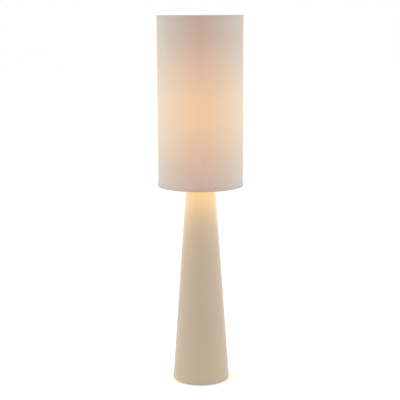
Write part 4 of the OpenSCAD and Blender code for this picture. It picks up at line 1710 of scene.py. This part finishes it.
@dataclass
class Studio:
    """Pale floor, white tent light, the light inside the shade, and the camera."""

    camera_height: float = 1.2
    camera_distance: float = 3.466
    camera_shift: float = -2.1 * MM
    pitch: float = 9.767
    roll: float = -0.2
    lens: float = 96.73
    sensor: float = 36.0
    tent_front: float = 0.58
    tent_side: float = 1.74
    tent_dim: float = 0.42
    tent_lean: float = 0.05
    floor_size: float = 40.0
    floor_drop: float = 0.3 * MM
    floor_tone: Colour = (0.93, 0.93, 0.93)
    floor_glow: float = 0.25
    lamp_height: float = 0.672
    lamp_size: float = 0.26
    lamp_spread: float = 125
    lamp_colour: Colour = (1.0, 0.74, 0.31)
    lamp_power: float = 0.66

    def build(self) -> None:
        """Set up the studio."""
        self._floor()
        self._world()
        self._inner_light()
        self._camera()
        view = bpy.context.scene.view_settings
        view.view_transform = "Standard"
        view.look = "None"

    def _floor(self) -> None:
        """Lay the pale floor, a hair under the felt."""
        deselect()
        bpy.ops.mesh.primitive_plane_add(size=self.floor_size, location=(0, 0, -self.floor_drop))
        floor = settle(bpy.context.object, "studio_floor")
        paint = Paint("floor_white")
        paint.set(Base_Color=self.floor_tone, Roughness=0.9, Specular_IOR_Level=0.1,
                  Emission_Color=WHITENESS, Emission_Strength=self.floor_glow)
        floor.data.materials.append(paint.material)

    def _world(self) -> None:
        """Surround the scene with a white tent, brighter at its sides and dimmer behind the lamp."""
        world = bpy.data.worlds.new("white_tent")
        world.use_nodes = True
        bpy.context.scene.world = world
        graph = Graph(world.node_tree)
        x, y, _ = graph.split(graph.node("ShaderNodeTexCoord", {}))
        seen = graph.node("ShaderNodeLightPath", {})
        sides = x * x * self.tent_side - x * self.tent_lean
        light = self.tent_front + sides - y.math("MAXIMUM", 0.0) * self.tent_dim
        background = world.node_tree.nodes["Background"]
        graph.feed(background.inputs["Strength"], seen + (1 - seen) * light)
        graph.feed(background.inputs["Color"], WHITENESS)

    def _inner_light(self) -> None:
        """Let the bulbs' light fall out of the shade on the top of the cone."""
        data = bpy.data.lights.new("inner_light", "AREA")
        data.shape = "DISK"
        data.size = self.lamp_size
        data.spread = math.radians(self.lamp_spread)
        data.color = self.lamp_colour
        data.energy = self.lamp_power
        lamp = bpy.data.objects.new("inner_light", data)
        lamp.location = (0, 0, self.lamp_height)
        lamp.visible_camera = False
        bpy.context.scene.collection.objects.link(lamp)

    def _camera(self) -> None:
        """Stand the camera where the photograph was taken."""
        data = bpy.data.cameras.new("camera")
        data.lens = self.lens
        data.sensor_width = self.sensor
        camera = bpy.data.objects.new("camera", data)
        camera.location = (self.camera_shift, -self.camera_distance, self.camera_height)
        level = Matrix.Rotation(math.radians(90 - self.pitch), 4, "X")
        tilt = Matrix.Rotation(math.radians(self.roll), 4, "Z")
        camera.rotation_euler = (level @ tilt).to_euler()
        bpy.context.scene.collection.objects.link(camera)
        bpy.context.scene.camera = camera


def main() -> None:
    """Build the lamp and its studio."""
    logging.basicConfig(level=logging.INFO, format="%(message)s")
    for assembly in (Studio(), DrumShade(), ConeBase(), Lampholders(), JunctionBox(), Spider()):
        assembly.build()
        LOG.info("%s is built", type(assembly).__name__)


if __name__ == "__main__":
    main()
